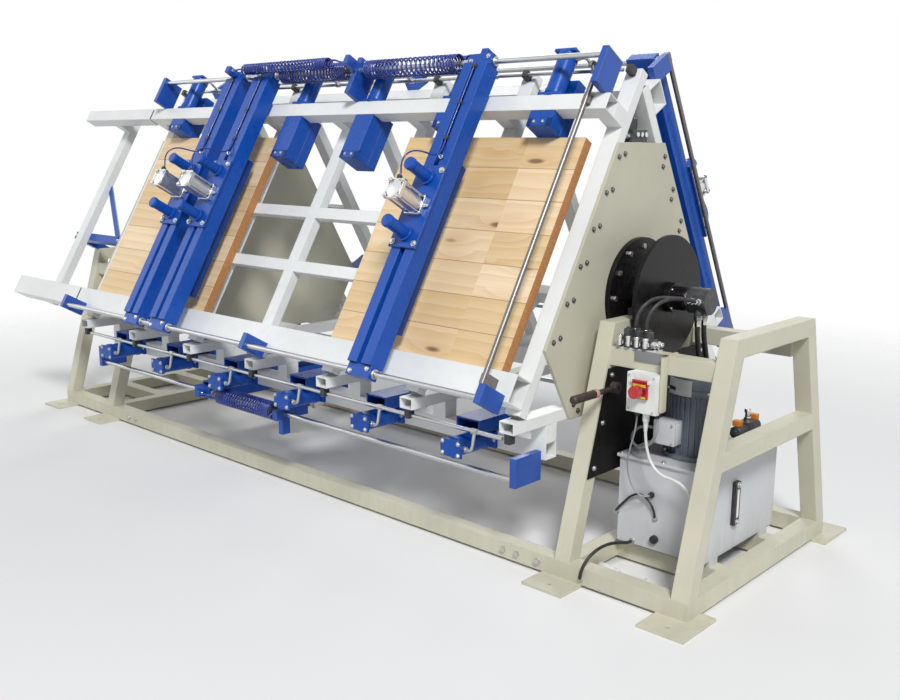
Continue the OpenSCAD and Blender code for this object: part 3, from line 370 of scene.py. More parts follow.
M = {
    "blue": paint("clamp_blue", (0.005, 0.074, 0.4), 0.3, (0.1, 0.24, 0.66), 0.6, 0.004, coat=0.06, dust=0.02,
                  sheen=0.25),
    # Shoes under the beams: the clamp blue darkened as painted shade.
    "shaded_blue": paint("shoe_blue", (0.005, 0.04, 0.22), 0.36, (0.05, 0.14, 0.4), 0.45, 0.003, dust=0.03,
                       sheen=0.3),
    "beige": paint("stand_paint", (0.61, 0.59, 0.462), 0.42, (0.76, 0.75, 0.66), 0.5, 0.005, grime=0.16),
    "plate": paint("plate_paint", (0.55, 0.535, 0.42), 0.45, (0.72, 0.71, 0.62), 0.5, 0.003, dust=0.18),
    "white": paint("rail_white", (0.82, 0.84, 0.83), 0.36, (0.93, 0.94, 0.93), 0.4, 0.004, dust=0.1),
    "tank": paint("tank_paint", (0.62, 0.64, 0.665), 0.38, (0.75, 0.77, 0.79), 0.4, 0.004, grime=0.35),
    "motor": paint("motor_paint", (0.13, 0.155, 0.2), 0.42, (0.3, 0.33, 0.38), 0.4, 0.0015, dust=0.2),
    "black": paint("hub_black", (0.006, 0.005, 0.006), 0.3, (0.1, 0.1, 0.11), 0.4, 0.002, dust=0.015,
                   sheen=0.2),
    "shield": paint("shield_black", (0.006, 0.0055, 0.006), 0.45, (0.06, 0.06, 0.06), 0.3, 0.001, dust=0.02,
                    sheen=0.12),
    "grey": paint("hanger_grey", (0.23, 0.24, 0.235), 0.45, (0.4, 0.41, 0.4), 0.4, 0.001, dust=0.1),
    "iron": paint("bearing_iron", (0.06, 0.063, 0.068), 0.5, (0.2, 0.2, 0.2), 0.5, 0.003, dust=0.2),
    "valve": paint("valve_iron", (0.035, 0.037, 0.04), 0.42, (0.2, 0.2, 0.2), 0.5, 0.002, dust=0.18),
    "steel": steel("rod_steel", (0.5, 0.51, 0.53)),
    "stop_bar": steel("stop_bar_steel", (0.2, 0.19, 0.18), 0.34, (9.0, 9.0, 9.0)),
    "dark_bolt": steel("dark_bolt", (0.14, 0.135, 0.13), 0.4, (20.0, 20.0, 20.0)),
    "bolt": steel("bolt_steel", (0.58, 0.58, 0.57), 0.34, (20.0, 20.0, 20.0)),
    "alu": steel("ram_aluminium", (0.72, 0.73, 0.74), 0.34, (30.0, 30.0, 3.0)),
    "chrome": steel("fitting_chrome", (0.75, 0.75, 0.74), 0.16, (8.0, 8.0, 8.0)),
    "rubber": plastic("hose_rubber", (0.018, 0.019, 0.021), 0.5),
    "lead": plastic("lead_rubber", (0.72, 0.73, 0.71), 0.42),
    "black_cable": plastic("black_cable", (0.014, 0.014, 0.015), 0.48),
    "dark_plastic": plastic("fitting_black", (0.022, 0.023, 0.026), 0.42),
    "lever": plastic("lever_black", (0.03, 0.018, 0.015), 0.4),
    "grip_end": plastic("grip_end", (0.5, 0.26, 0.22), 0.4),
    "box": plastic("box_plastic", (0.8, 0.82, 0.8), 0.4),
    "flap": plastic("flap_plastic", (0.46, 0.008, 0.018), 0.3, coat=0.2),
    "yellow": plastic("insert_yellow", (0.8, 0.55, 0.03), 0.35),
    "red": plastic("button_plastic", (0.52, 0.012, 0.02), 0.25, coat=0.3),
    "hose_blue": plastic("air_hose_blue", (0.008, 0.032, 0.25), 0.22, coat=0.3, strength=0.04),
    "white_cable": plastic("white_cable", (0.75, 0.76, 0.74), 0.4),
    "grey_cable": plastic("grey_cable", (0.3, 0.31, 0.32), 0.45),
    "orange": plastic("cap_orange", (0.65, 0.2, 0.02), 0.4),
    "wood": spruce("panel_wood"),
    "rods": rods_and_posts("guide_rods_and_posts", (0.012, 0.075, 0.38)),
}

# Material of every solid of the construction
LOOKS = {
    "beige": "left_stand right_stand floor_rails",
    "bolt": "splice_bolts hub_bolts",
    "iron": "shaft_bearings",
    "shield": "bearing_shield",
    "tank": "oil_tank",
    "motor": "pump_motor",
    "dark_plastic": "tank_fittings",
    "box": "switch_box",
    "flap": "switch_flap",
    "red": "stop_button",
    "lever": "lock_lever",
    "valve": "valve_block union_body",
    "rubber": "supply_hoses",
    "lead": "mains_lead lead_coil mains_plug",
    "plate": "end_plates",
    "black": "hub_flanges",
    "steel": "stub_shafts",
    "stop_bar": "end_stop_bar",
    "rods": "guide_rods",
    "wood": "glued_panels",
    "hose_blue": "air_hose_1 air_hose_2 air_hose_3 air_hose_4",
    "white": "wing_frame front_slats bottom_slats rear_slats front_fixed_jaw front_press_rail bottom_rails "
    "rear_rails",
    # Shoes wear the darker blue that is painted shade under the beams.
    "shaded_blue": "rear_shoe bottom_shoe front_shoe_1 front_shoe_2 front_shoe_3",
    "blue": "wing_stay front_cylinders bottom_cylinders rear_cylinders bottom_jaws rear_jaws rear_beam "
    "bottom_beam front_jaw_1 front_jaw_2 front_jaw_3 front_jaw_4 front_jaw_5 front_jaw_6 "
    "front_beam_1 front_beam_2 front_beam_3",
}
for key, names in LOOKS.items():
    for node in names.split():
        slots = nodes[node].data.materials
        slots.clear()
        slots.append(M[key])


# Paths and rings of vertices
def smooth(points, step):
    """A Catmull-Rom curve through the points, cut into steps of about that length."""
    pts = [Vector(p) for p in points]
    pts = [2 * pts[0] - pts[1], *pts, 2 * pts[-1] - pts[-2]]
    out = []
    for i in range(1, len(pts) - 2):
        p0, p1, p2, p3 = pts[i - 1 : i + 3]
        square, cube = 2 * p0 - 5 * p1 + 4 * p2 - p3, 3 * p1 - p0 - 3 * p2 + p3
        count = max(1, round((p2 - p1).length / step))
        for k in range(count):
            t = k / count
            out.append(0.5 * (2 * p1 + (p2 - p0) * t + square * t * t + cube * t * t * t))
    out.append(pts[-2])
    return out


def ring(bm, at, radius, u, w, sides, phase=0.0):
    """Vertices round a point, in the plane of two directions."""
    turns = [2 * math.pi * k / sides + phase for k in range(sides)]
    return [bm.verts.new(at + radius * (math.cos(a) * u + math.sin(a) * w)) for a in turns]


def turned_rings(bm, start, axis, profile, sides, phase=0.0):
    """Rings about an axis, for height and radius pairs along it from the start."""
    axis = Vector(axis).normalized()
    u = axis.orthogonal().normalized()
    w = axis.cross(u)
    return [ring(bm, Vector(start) + axis * h, r, u, w, sides, phase) for h, r in profile]


def carried_rings(bm, points, radius, sides):
    """Rings along a path, with a frame carried along it."""
    last = len(points) - 1
    side = None
    rings = []
    for i, p in enumerate(points):
        t = (points[min(i + 1, last)] - points[max(i - 1, 0)]).normalized()
        side = t.orthogonal() if side is None else side
        side = (side - side.dot(t) * t).normalized()
        rings.append(ring(bm, p, radius, side, t.cross(side), sides))
    return rings


def join_rings(bm, rings, caps=True):
    """Faces between rings that follow each other, and across both ends."""
    for a, b in zip(rings, rings[1:]):
        for k in range(len(a)):
            j = (k + 1) % len(a)
            bm.faces.new((a[k], a[j], b[j], b[k]))
    if caps:
        bm.faces.new(rings[0])
        bm.faces.new(rings[-1])


def new_object(name, bm):
    mesh = bpy.data.meshes.new(name)
    bm.to_mesh(mesh)
    bm.free()
    obj = bpy.data.objects.new(name, mesh)
    scene.collection.objects.link(obj)
    return obj


# Cords and hoses
def tube_mesh(name, points, radius, sides=12):
    """A closed mesh tube along points in metres, with flat ends."""
    bm = bmesh.new()
    join_rings(bm, carried_rings(bm, points, radius, sides))
    for f in bm.faces:
        f.smooth = len(f.verts) == 4
    bmesh.ops.recalc_face_normals(bm, faces=bm.faces)
    return new_object(name, bm)


def cord_piece(name, points, radius, key, body, replaced=()):
    """A free cord of one look that rides on a body; its points are in metres."""
    obj = tube_mesh(name, points, radius)
    obj.data.materials.append(M[key])
    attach(obj, body)
    if replaced:
        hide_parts(*replaced)


def laid(route, step=5):
    """A route in millimetres of the base as a smooth path in metres."""
    return [WORLD @ p for p in smooth(route, step)]


# Mains lead from the switch box to its hank behind the front base rail
LEAD_ROUTE = [
    (1658, -325, 558), (1658, -325, 530), (1660, -325, 500), (1666, -325, 465), (1679, -325, 430),
    (1700, -325, 402), (1728, -325, 386), (1762, -325.5, 381), (1796, -326, 372), (1826, -327, 350),
    (1844, -329, 316), (1850, -331, 270), (1849, -333, 210), (1845, -336, 150), (1837, -339, 100),
    (1826, -341, 62), (1815.3, -341.2, 30.5), (1797, -341.2, 12.2), (1782, -341.2, 5.5),
]
LEAD_RADIUS, LEAD_LYING, HANK_RINGS = 0.005, 5.5, 96
# Hank: its middle, straight run, turns out from the middle, step from turn to turn, bend and end of the tail
HANK_POS, HANK_RUN, HANK_TURNS, HANK_STEP, HANK_R, HANK_TAIL = (1692, -388), 160, 1.5, 11.2, 30, 1592


def hank_point(turn):
    """A point of the hank: it winds in on the floor, crosses over and winds out on top."""
    r = HANK_R + HANK_STEP * abs(turn - HANK_TURNS)
    z = LEAD_LYING + HANK_STEP * max(0, min(1, 2 * (turn - HANK_TURNS) + 0.5))
    q = 4 * (turn - math.floor(turn))
    run = 1 - 2 * q if q < 1 else -1 if q < 2 else 2 * q - 5 if q < 3 else 1
    a = math.radians(90 + 180 * (max(0, min(1, q - 1)) + max(0, q - 3)))
    x = HANK_POS[0] + run * HANK_RUN / 2 + r * math.cos(a)
    return Vector((x, HANK_POS[1] + r * math.sin(a), z))


def mains_lead():
    hank = [hank_point(i / HANK_RINGS) for i in range(int((2 * HANK_TURNS + 0.25) * HANK_RINGS) + 1)]
    end = Vector((HANK_TAIL, hank[-1].y, hank[-1].z))
    tail = [hank[-1].lerp(end, k / 4) for k in range(1, 5)]
    return [WORLD @ p for p in smooth(LEAD_ROUTE, 6) + hank + tail]


cord_piece("mains_lead_run", mains_lead(), LEAD_RADIUS, "lead", "base",
           ("mains_lead", "lead_coil"))

# Oil tank: its front, its top and the face with the level gauge
TANK_FRONT, TANK_TOP, GAUGE_FACE = -250, 400, 1864

# Pressure hoses from the union to the valve block
PRESSURE_HOSE_RADIUS = 0.009
SUPPLY_ROUTES = [
    [(1659, -22, 858), (1659, -22, 838), (1658, -21, 812), (1654, -8, 775), (1646, 18, 730), (1636, 46, 680),
     (1628, 70, 630), (1624, 86, 580), (1622, 95, 540), (1622, 95, 524)],
    [(1659, 22, 858), (1659, 22, 838), (1658, 24, 812), (1655, 36, 775), (1649, 62, 730), (1640, 92, 680),
     (1630, 117, 630), (1624, 131, 580), (1622, 135, 540), (1622, 135, 524)],
]
for i, route in enumerate(SUPPLY_ROUTES):
    cord_piece("pressure_hose_%d" % (i + 1), laid(route), PRESSURE_HOSE_RADIUS, "rubber", "base",
               ("supply_hoses",))

# Curly air hoses between the middle posts of the guide rods and the beams
GUIDE_S, GUIDE_N = 612.0, 560.0
AIR_TUBE_RADIUS, AIR_TUBE_SIDES = 0.004, 10
ROD_CURL, LANE_CURL, LEADIN, BUNCH, CURL_STEPS = 34.0, 20.0, 12.0, 0.42, 36
# Each end of a coil: its run along the axis, the tube it takes, and the straight before the fitting
ROD_EASE, LANE_EASE = (40.0, 80.0, 41.0), (90.0, 288.0, 0.0)
# Where a hose is held: in its own lane, or over the guide rod
LANE_FRONT, ROD_LANE = (608.0, 628.0), (GUIDE_S + ROD_CURL, GUIDE_N)
BEAM_X = {"front_beam_1": -0.2378 * ROTOR_LEN, "front_beam_2": -0.1621 * ROTOR_LEN,
          "front_beam_3": 0.2954 * ROTOR_LEN, "rear_beam": 0.4593 * ROTOR_LEN,
          "bottom_beam": -0.1441 * ROTOR_LEN}
# Middle post, half its thickness, and the reach of a beam's lug
POST, POST_HALF, LUG = 0.054 * ROTOR_LEN, 12, 15
HOSES = [
    ("air_hose_1", FRONT, POST - POST_HALF, BEAM_X["front_beam_2"] + LUG, 27, "front_beam_2", False),
    ("air_hose_2", FRONT, POST - POST_HALF, BEAM_X["front_beam_1"] + LUG, 34, "front_beam_1", True),
    ("air_hose_3", FRONT, POST + POST_HALF, BEAM_X["front_beam_3"] - LUG, 27, "front_beam_3", False),
    ("air_hose_4", BOTTOM, POST - POST_HALF, BEAM_X["bottom_beam"] + LUG, 27, "bottom_beam", False),
]


def air_hose(node, face, x_from, x_to, curls, body, in_lane):
    """A coil that leaves each fitting straight, eases into its curls, and has them closest at its ends."""
    way = 1 if x_to > x_from else -1
    turn = face_matrix(face)
    lane = LANE_FRONT if in_lane else ROD_LANE
    center = LANE_FRONT if in_lane else (GUIDE_S, GUIDE_N)
    radius = LANE_CURL if in_lane else ROD_CURL
    ease_run, ease_tube, straight = LANE_EASE if in_lane else ROD_EASE
    x0, x1 = x_from + way * LEADIN, x_to - way * (LEADIN + straight)
    ease = ease_tube / (2 * math.pi * radius * curls)
    steps = curls * CURL_STEPS
    shares = []
    sums = [0.0, 0.0, 0.0]
    for i in range(steps + 1):
        t = i / steps
        u = min(1.0, min(t, 1 - t) / ease)
        close = 1 - BUNCH * math.cos(2 * math.pi * t)
        sums = [sums[0] + 1 - u, sums[1] + u * close, sums[2] + u]
        shares.append((u, *sums))
    first = shares[0]
    points = [(x_from, *lane)]
    for u, *part in shares:
        lead, coil, angle = ((v - f) / (e - f) for v, f, e in zip(part, first[1:], sums))
        x = x0 + way * 2 * ease_run * lead + (x1 - x0 - way * 2 * ease_run) * coil
        grown = min(1.0, 1.5 * u)
        r = radius * grown * grown * (3 - 2 * grown) if in_lane else radius
        a = 2 * math.pi * curls * angle
        points.append((x, center[0] + r * math.cos(a), center[1] + r * math.sin(a)))
    points.append((x_to, *lane))
    points = [turn @ Vector(p) for p in points]
    obj = tube_mesh(node + "_curls", points, AIR_TUBE_RADIUS, AIR_TUBE_SIDES)
    obj.data.materials.append(M["hose_blue"])
    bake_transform(obj)
    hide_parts(node)


for hose in HOSES:
    air_hose(*hose)


# Detail pieces: heads of screws as height and radius for a size of one
WASHER = ((0, 1.3), (0.22, 1.3), (0.25, 1.25))
HEX_HEAD = ((0, 1), (0.55, 1), (0.7, 0.86))
CAP_HEAD = ((0, 1), (0.8, 1), (1, 0.9), (1, 0.5), (0.45, 0.45))
SMOOTH_BELOW = math.radians(38)


def scaled(profile, size):
    return [(h * size, r * size) for h, r in profile]


def neck(big, first, small, second, tip=None):
    """Profile of a nut with a smaller neck, chamfered where the radius of a tip is given."""
    return [(0, big), (first, big), (first, small), (second, small)] + ([(second + 1, tip)] if tip else [])


class Batch:
    """Pieces of one look on one body, made in millimetres and joined into one mesh."""

    def __init__(self, name, body, key, matrix=WORLD, slotted=True):
        self.name, self.body, self.key, self.matrix, self.slotted = name, body, key, matrix, slotted
        self.bm = bmesh.new()

    def take(self, part):
        bmesh.ops.recalc_face_normals(part, faces=part.faces)
        bmesh.ops.transform(part, matrix=self.matrix, verts=part.verts)
        mesh = bpy.data.meshes.new("part")
        part.to_mesh(mesh)
        part.free()
        self.bm.from_mesh(mesh)
        bpy.data.meshes.remove(mesh)

    def box(self, x, y, z, bevel=1.5):
        part = bmesh.new()
        bmesh.ops.create_cube(part, size=1.0)
        for v in part.verts:
            v.co = [lo + (hi - lo) * (c + 0.5) for (lo, hi), c in zip((x, y, z), v.co)]
        if bevel:
            bmesh.ops.bevel(part, geom=part.edges[:], offset=bevel, segments=2, profile=0.7, affect="EDGES")
        self.take(part)

    def lathe(self, start, axis, profile, sides=24, phase=0.0):
        """A body of revolution: profile holds height and radius pairs along the axis from the start."""
        part = bmesh.new()
        join_rings(part, turned_rings(part, start, axis, profile, sides, phase))
        self.take(part)

    def collar(self, start, axis, inner, outer, length, sides=28, edge=1.0):
        """A ring with a bore."""
        part = bmesh.new()
        loop = [(0, inner), (0, outer - edge), (edge, outer), (length - edge, outer), (length, outer - edge),
                (length, inner)]
        rings = turned_rings(part, start, axis, loop, sides)
        join_rings(part, [*rings, rings[0]], caps=False)
        self.take(part)

    def bolt(self, at, axis, size, phase=0.0):
        """A hexagon head on a washer."""
        self.lathe(at, axis, scaled(WASHER, size), 20)
        base = Vector(at) + Vector(axis).normalized() * WASHER[-1][0] * size
        self.lathe(base, axis, scaled(HEX_HEAD, size), 6, phase)

    def cap_screw(self, at, axis, size):
        """A round head with a socket."""
        self.lathe(at, axis, scaled(CAP_HEAD, size), 16)

    def sweep(self, points, radius, step=6.0, sides=10):
        """A round bar along a smooth path."""
        part = bmesh.new()
        join_rings(part, carried_rings(part, smooth(points, step), radius, sides))
        self.take(part)

    def arc_plate(self, center, inner, outer, degrees, z, steps=16):
        """A plate bent around an upright axis."""
        part = bmesh.new()
        rings = []
        for k in range(steps + 1):
            a = math.radians(degrees[0] + (degrees[1] - degrees[0]) * k / steps)
            c, s = math.cos(a), math.sin(a)
            rings.append([part.verts.new((center[0] + r * c, center[1] + r * s, h))
                          for r, h in ((inner, z[0]), (outer, z[0]), (outer, z[1]), (inner, z[1]))])
        join_rings(part, rings)
        self.take(part)

    def channel(self, x, y, z, wall):
        """A cover open at the back and at both ends."""
        lo, hi = x
        loop = [(lo, z[0]), (lo, z[1]), (hi, z[1]), (hi, z[0]), (hi - wall, z[0]), (hi - wall, z[1] - wall),
                (lo + wall, z[1] - wall), (lo + wall, z[0])]
        part = bmesh.new()
        join_rings(part, [[part.verts.new((px, py, pz)) for px, pz in loop] for py in y])
        self.take(part)

    def mesh_object(self):
        for e in self.bm.edges:
            e.smooth = len(e.link_faces) == 2 and e.calc_face_angle(0.0) < SMOOTH_BELOW
        for f in self.bm.faces:
            f.smooth = True
        obj = new_object(self.name, self.bm)
        obj.data.materials.append(M[self.key])
        return obj

    def done(self, replaced=()):
        obj = self.mesh_object()
        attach(obj, self.body)
        if replaced:
            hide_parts(*replaced)


SLAT_PITCH = 452.667
SLAT_X = [-1358 + SLAT_PITCH * k for k in range(7)]
UNIT_X = [x + 226.333 for x in SLAT_X[:-1]]


def moved(points, x):
    """Points of a face, shifted along the rotor."""
    return [(x + along, s, n) for along, s, n in points]


# Hold-down beams. Heights out of the face: carrier plate, both ends of the air ram, caps of the guide tubes
CARRIER_N, RAM_ENDS, GUIDE_CAP_N = 605, ((605.2, 620), (722, 737)), 701
# Distances from the middle of a beam: wall and outside of the ram's ends, tie rods and guide tubes
RAM_WALL, RAM_HALF, TIE_ROD, GUIDE_TUBE = 32.3, 37, 30, 110
LUG_FACE, AIR_LINE_RADIUS, CLIP_S, CLIP_N = 15.2, 0.003, (276, 420, 572), (594.8, 602.6)
AIR_LINE = [
    (0, 46, 729.5), (-1, 62, 731), (-3, 82, 739), (-3, 104, 744), (2, 126, 742), (9, 147, 728),
    (15, 162, 704), (19, 172, 674), (20, 182, 644), (18, 198, 619), (12, 226, 604), (6, 268, 599),
    (4, 330, 598.4), (4, 450, 598.4), (4, 585, 598.4),
]


def dress_beam(name, face, x, in_lane, hose_side):
    """Air ram, guide tubes, bushes, fittings and air line of a beam."""
    m = face_matrix(face)
    alu = Batch(name + "_ram", name, "alu", m)
    alu.collar((x, 0, 618), OUT, 32.2, 33.6, 106, 40, 0.4)
    for height in RAM_ENDS:
        for lo, hi in ((RAM_WALL, RAM_HALF), (-RAM_HALF, -RAM_WALL)):
            alu.box((x + lo, x + hi), (-RAM_HALF, RAM_HALF), height, 0.8)
        for side in ((RAM_WALL, RAM_HALF), (-RAM_HALF, -RAM_WALL)):
            alu.box((x - RAM_HALF, x + RAM_HALF), side, height, 0.8)
    alu.lathe((x, 0, 735.1), OUT, [(0, 32.5), (1.6, 32.5), (2.2, 31.5)], 40)
    alu.done()
    rods = Batch(name + "_tie_rods", name, "bolt", m)
    for a in (-1, 1):
        for b in (-1, 1):
            rods.lathe((x + TIE_ROD * a, TIE_ROD * b, CARRIER_N), OUT, [(0, 4), (135, 4)], 12)
            rods.bolt((x + TIE_ROD * a, TIE_ROD * b, RAM_ENDS[1][1]), OUT, 7)
            rods.bolt((x + 52 * a, 142 * b, CARRIER_N), OUT, 9)
            rods.bolt((x + 38 * a, GUIDE_S * b + 9 * a, 582), OUT, 7)
    for b in (-1, 1):
        for a in (-1, 1):
            rods.collar((x + 56 * a, GUIDE_S * b, GUIDE_N), (a, 0, 0), 10.6, 17.5, 9)
    rods.done()
    caps = Batch(name + "_caps", name, "blue", m)
    for b in (-1, 1):
        caps.lathe((x, GUIDE_TUBE * b, GUIDE_CAP_N), OUT,
                   [(0, 22.4), (0, 24), (12, 24), (15.5, 21.5), (16.5, 15)], 28)
        caps.collar((x, GUIDE_TUBE * b, CARRIER_N + 0.1), OUT, 22.2, 29, 12)
    caps.done()
    ports = Batch(name + "_ports", name, "chrome", m)
    ports.lathe((x + RAM_HALF, 0, 612.5), ALONG, neck(8, 9, 6, 18, 5), 6)
    if hose_side:
        lug = (x + LUG_FACE * hose_side, *(LANE_FRONT if in_lane else ROD_LANE))
        ports.lathe(lug, (hose_side, 0, 0), neck(7.5, 8, 6, 13), 6)
    ports.lathe((x + 22, 196, 596), OUT, neck(9, 10, 7, 16), 6)
    ports.done()
    elbow = Batch(name + "_elbow", name, "dark_plastic", m)
    elbow.lathe((x, RAM_HALF, 729.5), UP, neck(9, 7, 6.5, 16, 5.5), 20)
    elbow.lathe((x, 46, 721), OUT, [(0, 7), (16, 7), (17.5, 5.5)], 20)
    elbow.done()
    clips = Batch(name + "_clips", name, "dark_plastic", m)
    for s in CLIP_S:
        clips.box((x - 6, x + 14), (s - 6, s + 6), CLIP_N, 1.0)
    clips.done()
    cord_piece(name + "_air_line", [m @ p for p in smooth(moved(AIR_LINE, x), 6)], AIR_LINE_RADIUS,
               "hose_blue", name)


BEAMS = [("front_beam_1", FRONT, True, 1), ("front_beam_2", FRONT, False, 1),
         ("front_beam_3", FRONT, False, -1), ("rear_beam", REAR, False, 0), ("bottom_beam", BOTTOM, False, 1)]
for beam, side, in_lane, hose_side in BEAMS:
    dress_beam(beam, side, BEAM_X[beam], in_lane, hose_side)
for node, side, post_face, _, _, _, in_lane in HOSES:
    nut = Batch(node + "_nut", "rotor", "chrome", face_matrix(side))
    way = 1 if post_face > POST else -1
    at = LANE_FRONT if in_lane else ROD_LANE
    nut.lathe((post_face + 0.2 * way, *at), (way, 0, 0), neck(8, 7, 6, 11), 6)
    nut.done()


# Press jaws: height and half width of the covers, length of the nose, edge of the rail, axis of the rods
COVER_N, COVER_HALF, NOSE, RAIL_EDGE, ROD_N = (441.3, 508.0), 51.5, 30.0, 437.0, 480
COVER_WALL, COVER_PLAY, HOOD_INSIDE, HOOD_TOP = 2.0, 0.4, 30.2, 504.3
# Jaws three and four of the front face have no panel and stand further out
SHORT_S, LONG_S, LONG_JAWS = 376.3, 240.3, (2, 3)


def dress_jaw(body, name, face, x, s):
    """Hood, cover and screws of a press jaw."""
    m = face_matrix(face)
    hood = Batch(name + "_hood", body, "blue", m)
    for lo, hi in ((x - COVER_HALF, x - HOOD_INSIDE), (x + HOOD_INSIDE, x + COVER_HALF)):
        hood.box((lo, hi), (s + 0.3, s + NOSE - 0.3), COVER_N, 0.8)
    hood.box((x - COVER_HALF, x + COVER_HALF), (s + 0.3, s + NOSE - 0.3), (HOOD_TOP, COVER_N[1]), 0.8)
    hood.done()
    cover_s = (s + NOSE, RAIL_EDGE - COVER_PLAY)
    folds = Batch(name + "_cover", body, "blue", m)
    folds.channel((x - COVER_HALF, x + COVER_HALF), cover_s, COVER_N, COVER_WALL)
    cover = folds.mesh_object()
    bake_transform(cover)
    zinc = Batch(name + "_screws", body, "bolt", m)
    for a in (-1, 1):
        zinc.cap_screw((x + 19 * a, s + 15, COVER_N[1]), OUT, 5.5)
    zinc.done()


for face in FACES:
    for k, unit in enumerate(UNIT_X):
        body = "front_jaw_%d" % (k + 1) if face == FRONT else FACE_NAMES[face] + "_jaws"
        jaw_s = LONG_S if face == FRONT and k in LONG_JAWS else SHORT_S
        dress_jaw(body, "%s_jaw_%d" % (FACE_NAMES[face], k + 1), face, unit, jaw_s)


# Press cylinders with their pressure line: its place, its start and length, and the pipe of each cylinder
LINE_S, LINE_N, LINE_START, LINE_LEN, FEED_S = 650, 414, -1330, 2660, 662
FEED_PIPE = [(60, 662, 480), (70, 662, 477), (77, 661, 466), (78, 656, 440), (78, 650, 415)]
BAND_INSIDE, BAND_OUTSIDE = 35.2, 37.6
for face in FACES:
    m = face_matrix(face)
    bolts = Batch(FACE_NAMES[face] + "_cylinder_bolts", "rotor", "bolt", m)
    pipes = Batch(FACE_NAMES[face] + "_pressure_line", "rotor", "steel", m)
    clips = Batch(FACE_NAMES[face] + "_line_clips", "rotor", "dark_plastic", m)
    bands = Batch(FACE_NAMES[face] + "_cylinder_bands", "rotor", "blue", m)
    pipes.lathe((LINE_START, LINE_S, LINE_N), ALONG,
                [(0, 6), (0.5, 7), (LINE_LEN - 0.5, 7), (LINE_LEN, 6)], 14)
    for x in SLAT_X:
        clips.box((x - 12, x + 12), (636, 664), (390.2, 425), 3)
    for x in UNIT_X:
        for a in (-1, 1):
            for b in (-1, 1):
                bolts.bolt((x + 35 * a, 684, ROD_N + 20 * b), UP, 6)
            bolts.bolt((x + 42 * a, 509, ROD_N), UP, 6)
        bands.collar((x, 652, ROD_N), UP, BAND_INSIDE, BAND_OUTSIDE, 21, 36)
        bands.collar((x, 509.2, ROD_N), UP, BAND_INSIDE, BAND_OUTSIDE, 16, 36)
        bolts.lathe((x + 38, FEED_S, ROD_N), ALONG, neck(11, 14, 8.5, 24), 6)
        pipes.sweep(moved(FEED_PIPE, x), 6, 4)
        bolts.lathe((x + 66, LINE_S, LINE_N), ALONG, [(0, 11), (24, 11)], 6)
    for b in (bolts, pipes, clips, bands):
        b.done()

# End plates and rotor ends
PLATE_X, PLATE_BOLT_S, PLATE_BOLT_ROWS = 1400, range(-340, 341, 136), ((0, 366), (26, 340))
plates = Batch("end_plate_bolts", "rotor", "dark_bolt")
for face in FACES:
    m = Matrix.Translation((0, 0, AXIS_Z)) @ Matrix.Rotation(math.radians(FACE_ANGLES[face]), 4, "X")
    for way in (-1, 1):
        for s in PLATE_BOLT_S:
            for ds, n in PLATE_BOLT_ROWS:
                plates.bolt(m @ Vector((PLATE_X * way, s + ds, n)), (way, 0, 0), 7, 0.3)
plates.done()
HOOK_X = 1310
hook = Batch("stop_hook", "rotor", "stop_bar", face_matrix(FRONT), slotted=False)
hook.sweep(moved([(0, 538, 525), (0, 562, 525), (0, 580, 530), (0, 589, 544), (0, 583, 559), (0, 566, 563)],
                 HOOK_X), 7, 4, 12)
hook.done()
SHAFT_RADIUS, SCREW_CIRCLE = 35.2, 45.5
sleeve = Batch("shaft_sleeve", "rotor", "black")
for x, outer, length in ((1533.2, 52, 26), (1559.4, 41, 50), (1502.5, 50, 15.3)):
    sleeve.collar((x, 0, AXIS_Z), ALONG, SHAFT_RADIUS, outer, length, 48, 2)
sleeve.done()
screws = Batch("sleeve_screws", "rotor", "chrome")
for k in range(4):
    a = math.radians(45 + 90 * k)
    screws.cap_screw((1559.2, SCREW_CIRCLE * math.cos(a), AXIS_Z + SCREW_CIRCLE * math.sin(a)), ALONG, 4.5)
screws.done()

# Valve block at the upper corner of the rotor: its end, foot and top
APEX_END, APEX_Z, SOLENOID_TOP = 1387, (1436, 1478), 1516
apex = Batch("apex_valves", "rotor", "valve")
apex.box((1284, APEX_END), (-46, 46), APEX_Z, 3)
for x in (1304, 1342):
    apex.box((x - 15, x + 15), (-28, 28), (APEX_Z[1], SOLENOID_TOP), 3)
    apex.lathe((x, 0, SOLENOID_TOP), SKY, [(0, 15), (34, 15), (36, 13), (36, 6), (44, 6)], 24)
apex.done()
fits = Batch("apex_fittings", "rotor", "chrome")
for x in (1304, 1342, 1372):
    for way in (-1, 1):
        fits.lathe((x, 46 * way, 1457), (0, way, 0), neck(10, 12, 7.5, 20), 6)
for y in (-26, 0, 26):
    fits.lathe((APEX_END, y, 1462), ALONG, [(0, 9), (9, 9), (10, 8)], 6)
fits.done()


# Base: bearings, shield, wing stay, foot of the stands
BEARING_X, SHIELD_FACE = 1468, 1502
LEG_FOOT_Y, LEG_LEAN, LEG_FOOT_Z, LEG_RISE = 500, 220, 70, 780
base_bolts = Batch("base_bolts", "base", "bolt")
for way in (-1, 1):
    for y in (-92, 92):
        base_bolts.bolt((BEARING_X * way, y, 874), SKY, 12)
    base_bolts.lathe((BEARING_X * way, 0, 968), SKY, [(0, 6), (6, 6), (6, 3.5), (10, 3.5), (13, 2)], 6)


def leg_y(z):
    """How far a leaning leg stands from the middle at a height."""
    return LEG_FOOT_Y - LEG_LEAN * (z - LEG_FOOT_Z) / LEG_RISE


for z in (372, 520, 676):
    for way in (-1, 1):
        base_bolts.bolt((SHIELD_FACE, way * (leg_y(z) - 34), z), ALONG, 7)
base_bolts.done()
stay = Batch("stay_bolts", "base", "bolt", face_matrix(FRONT))
for x in (-1908, -1880, -1480, -1452):
    stay.bolt((x, -180, 350), OUT, 7)
stay.done()

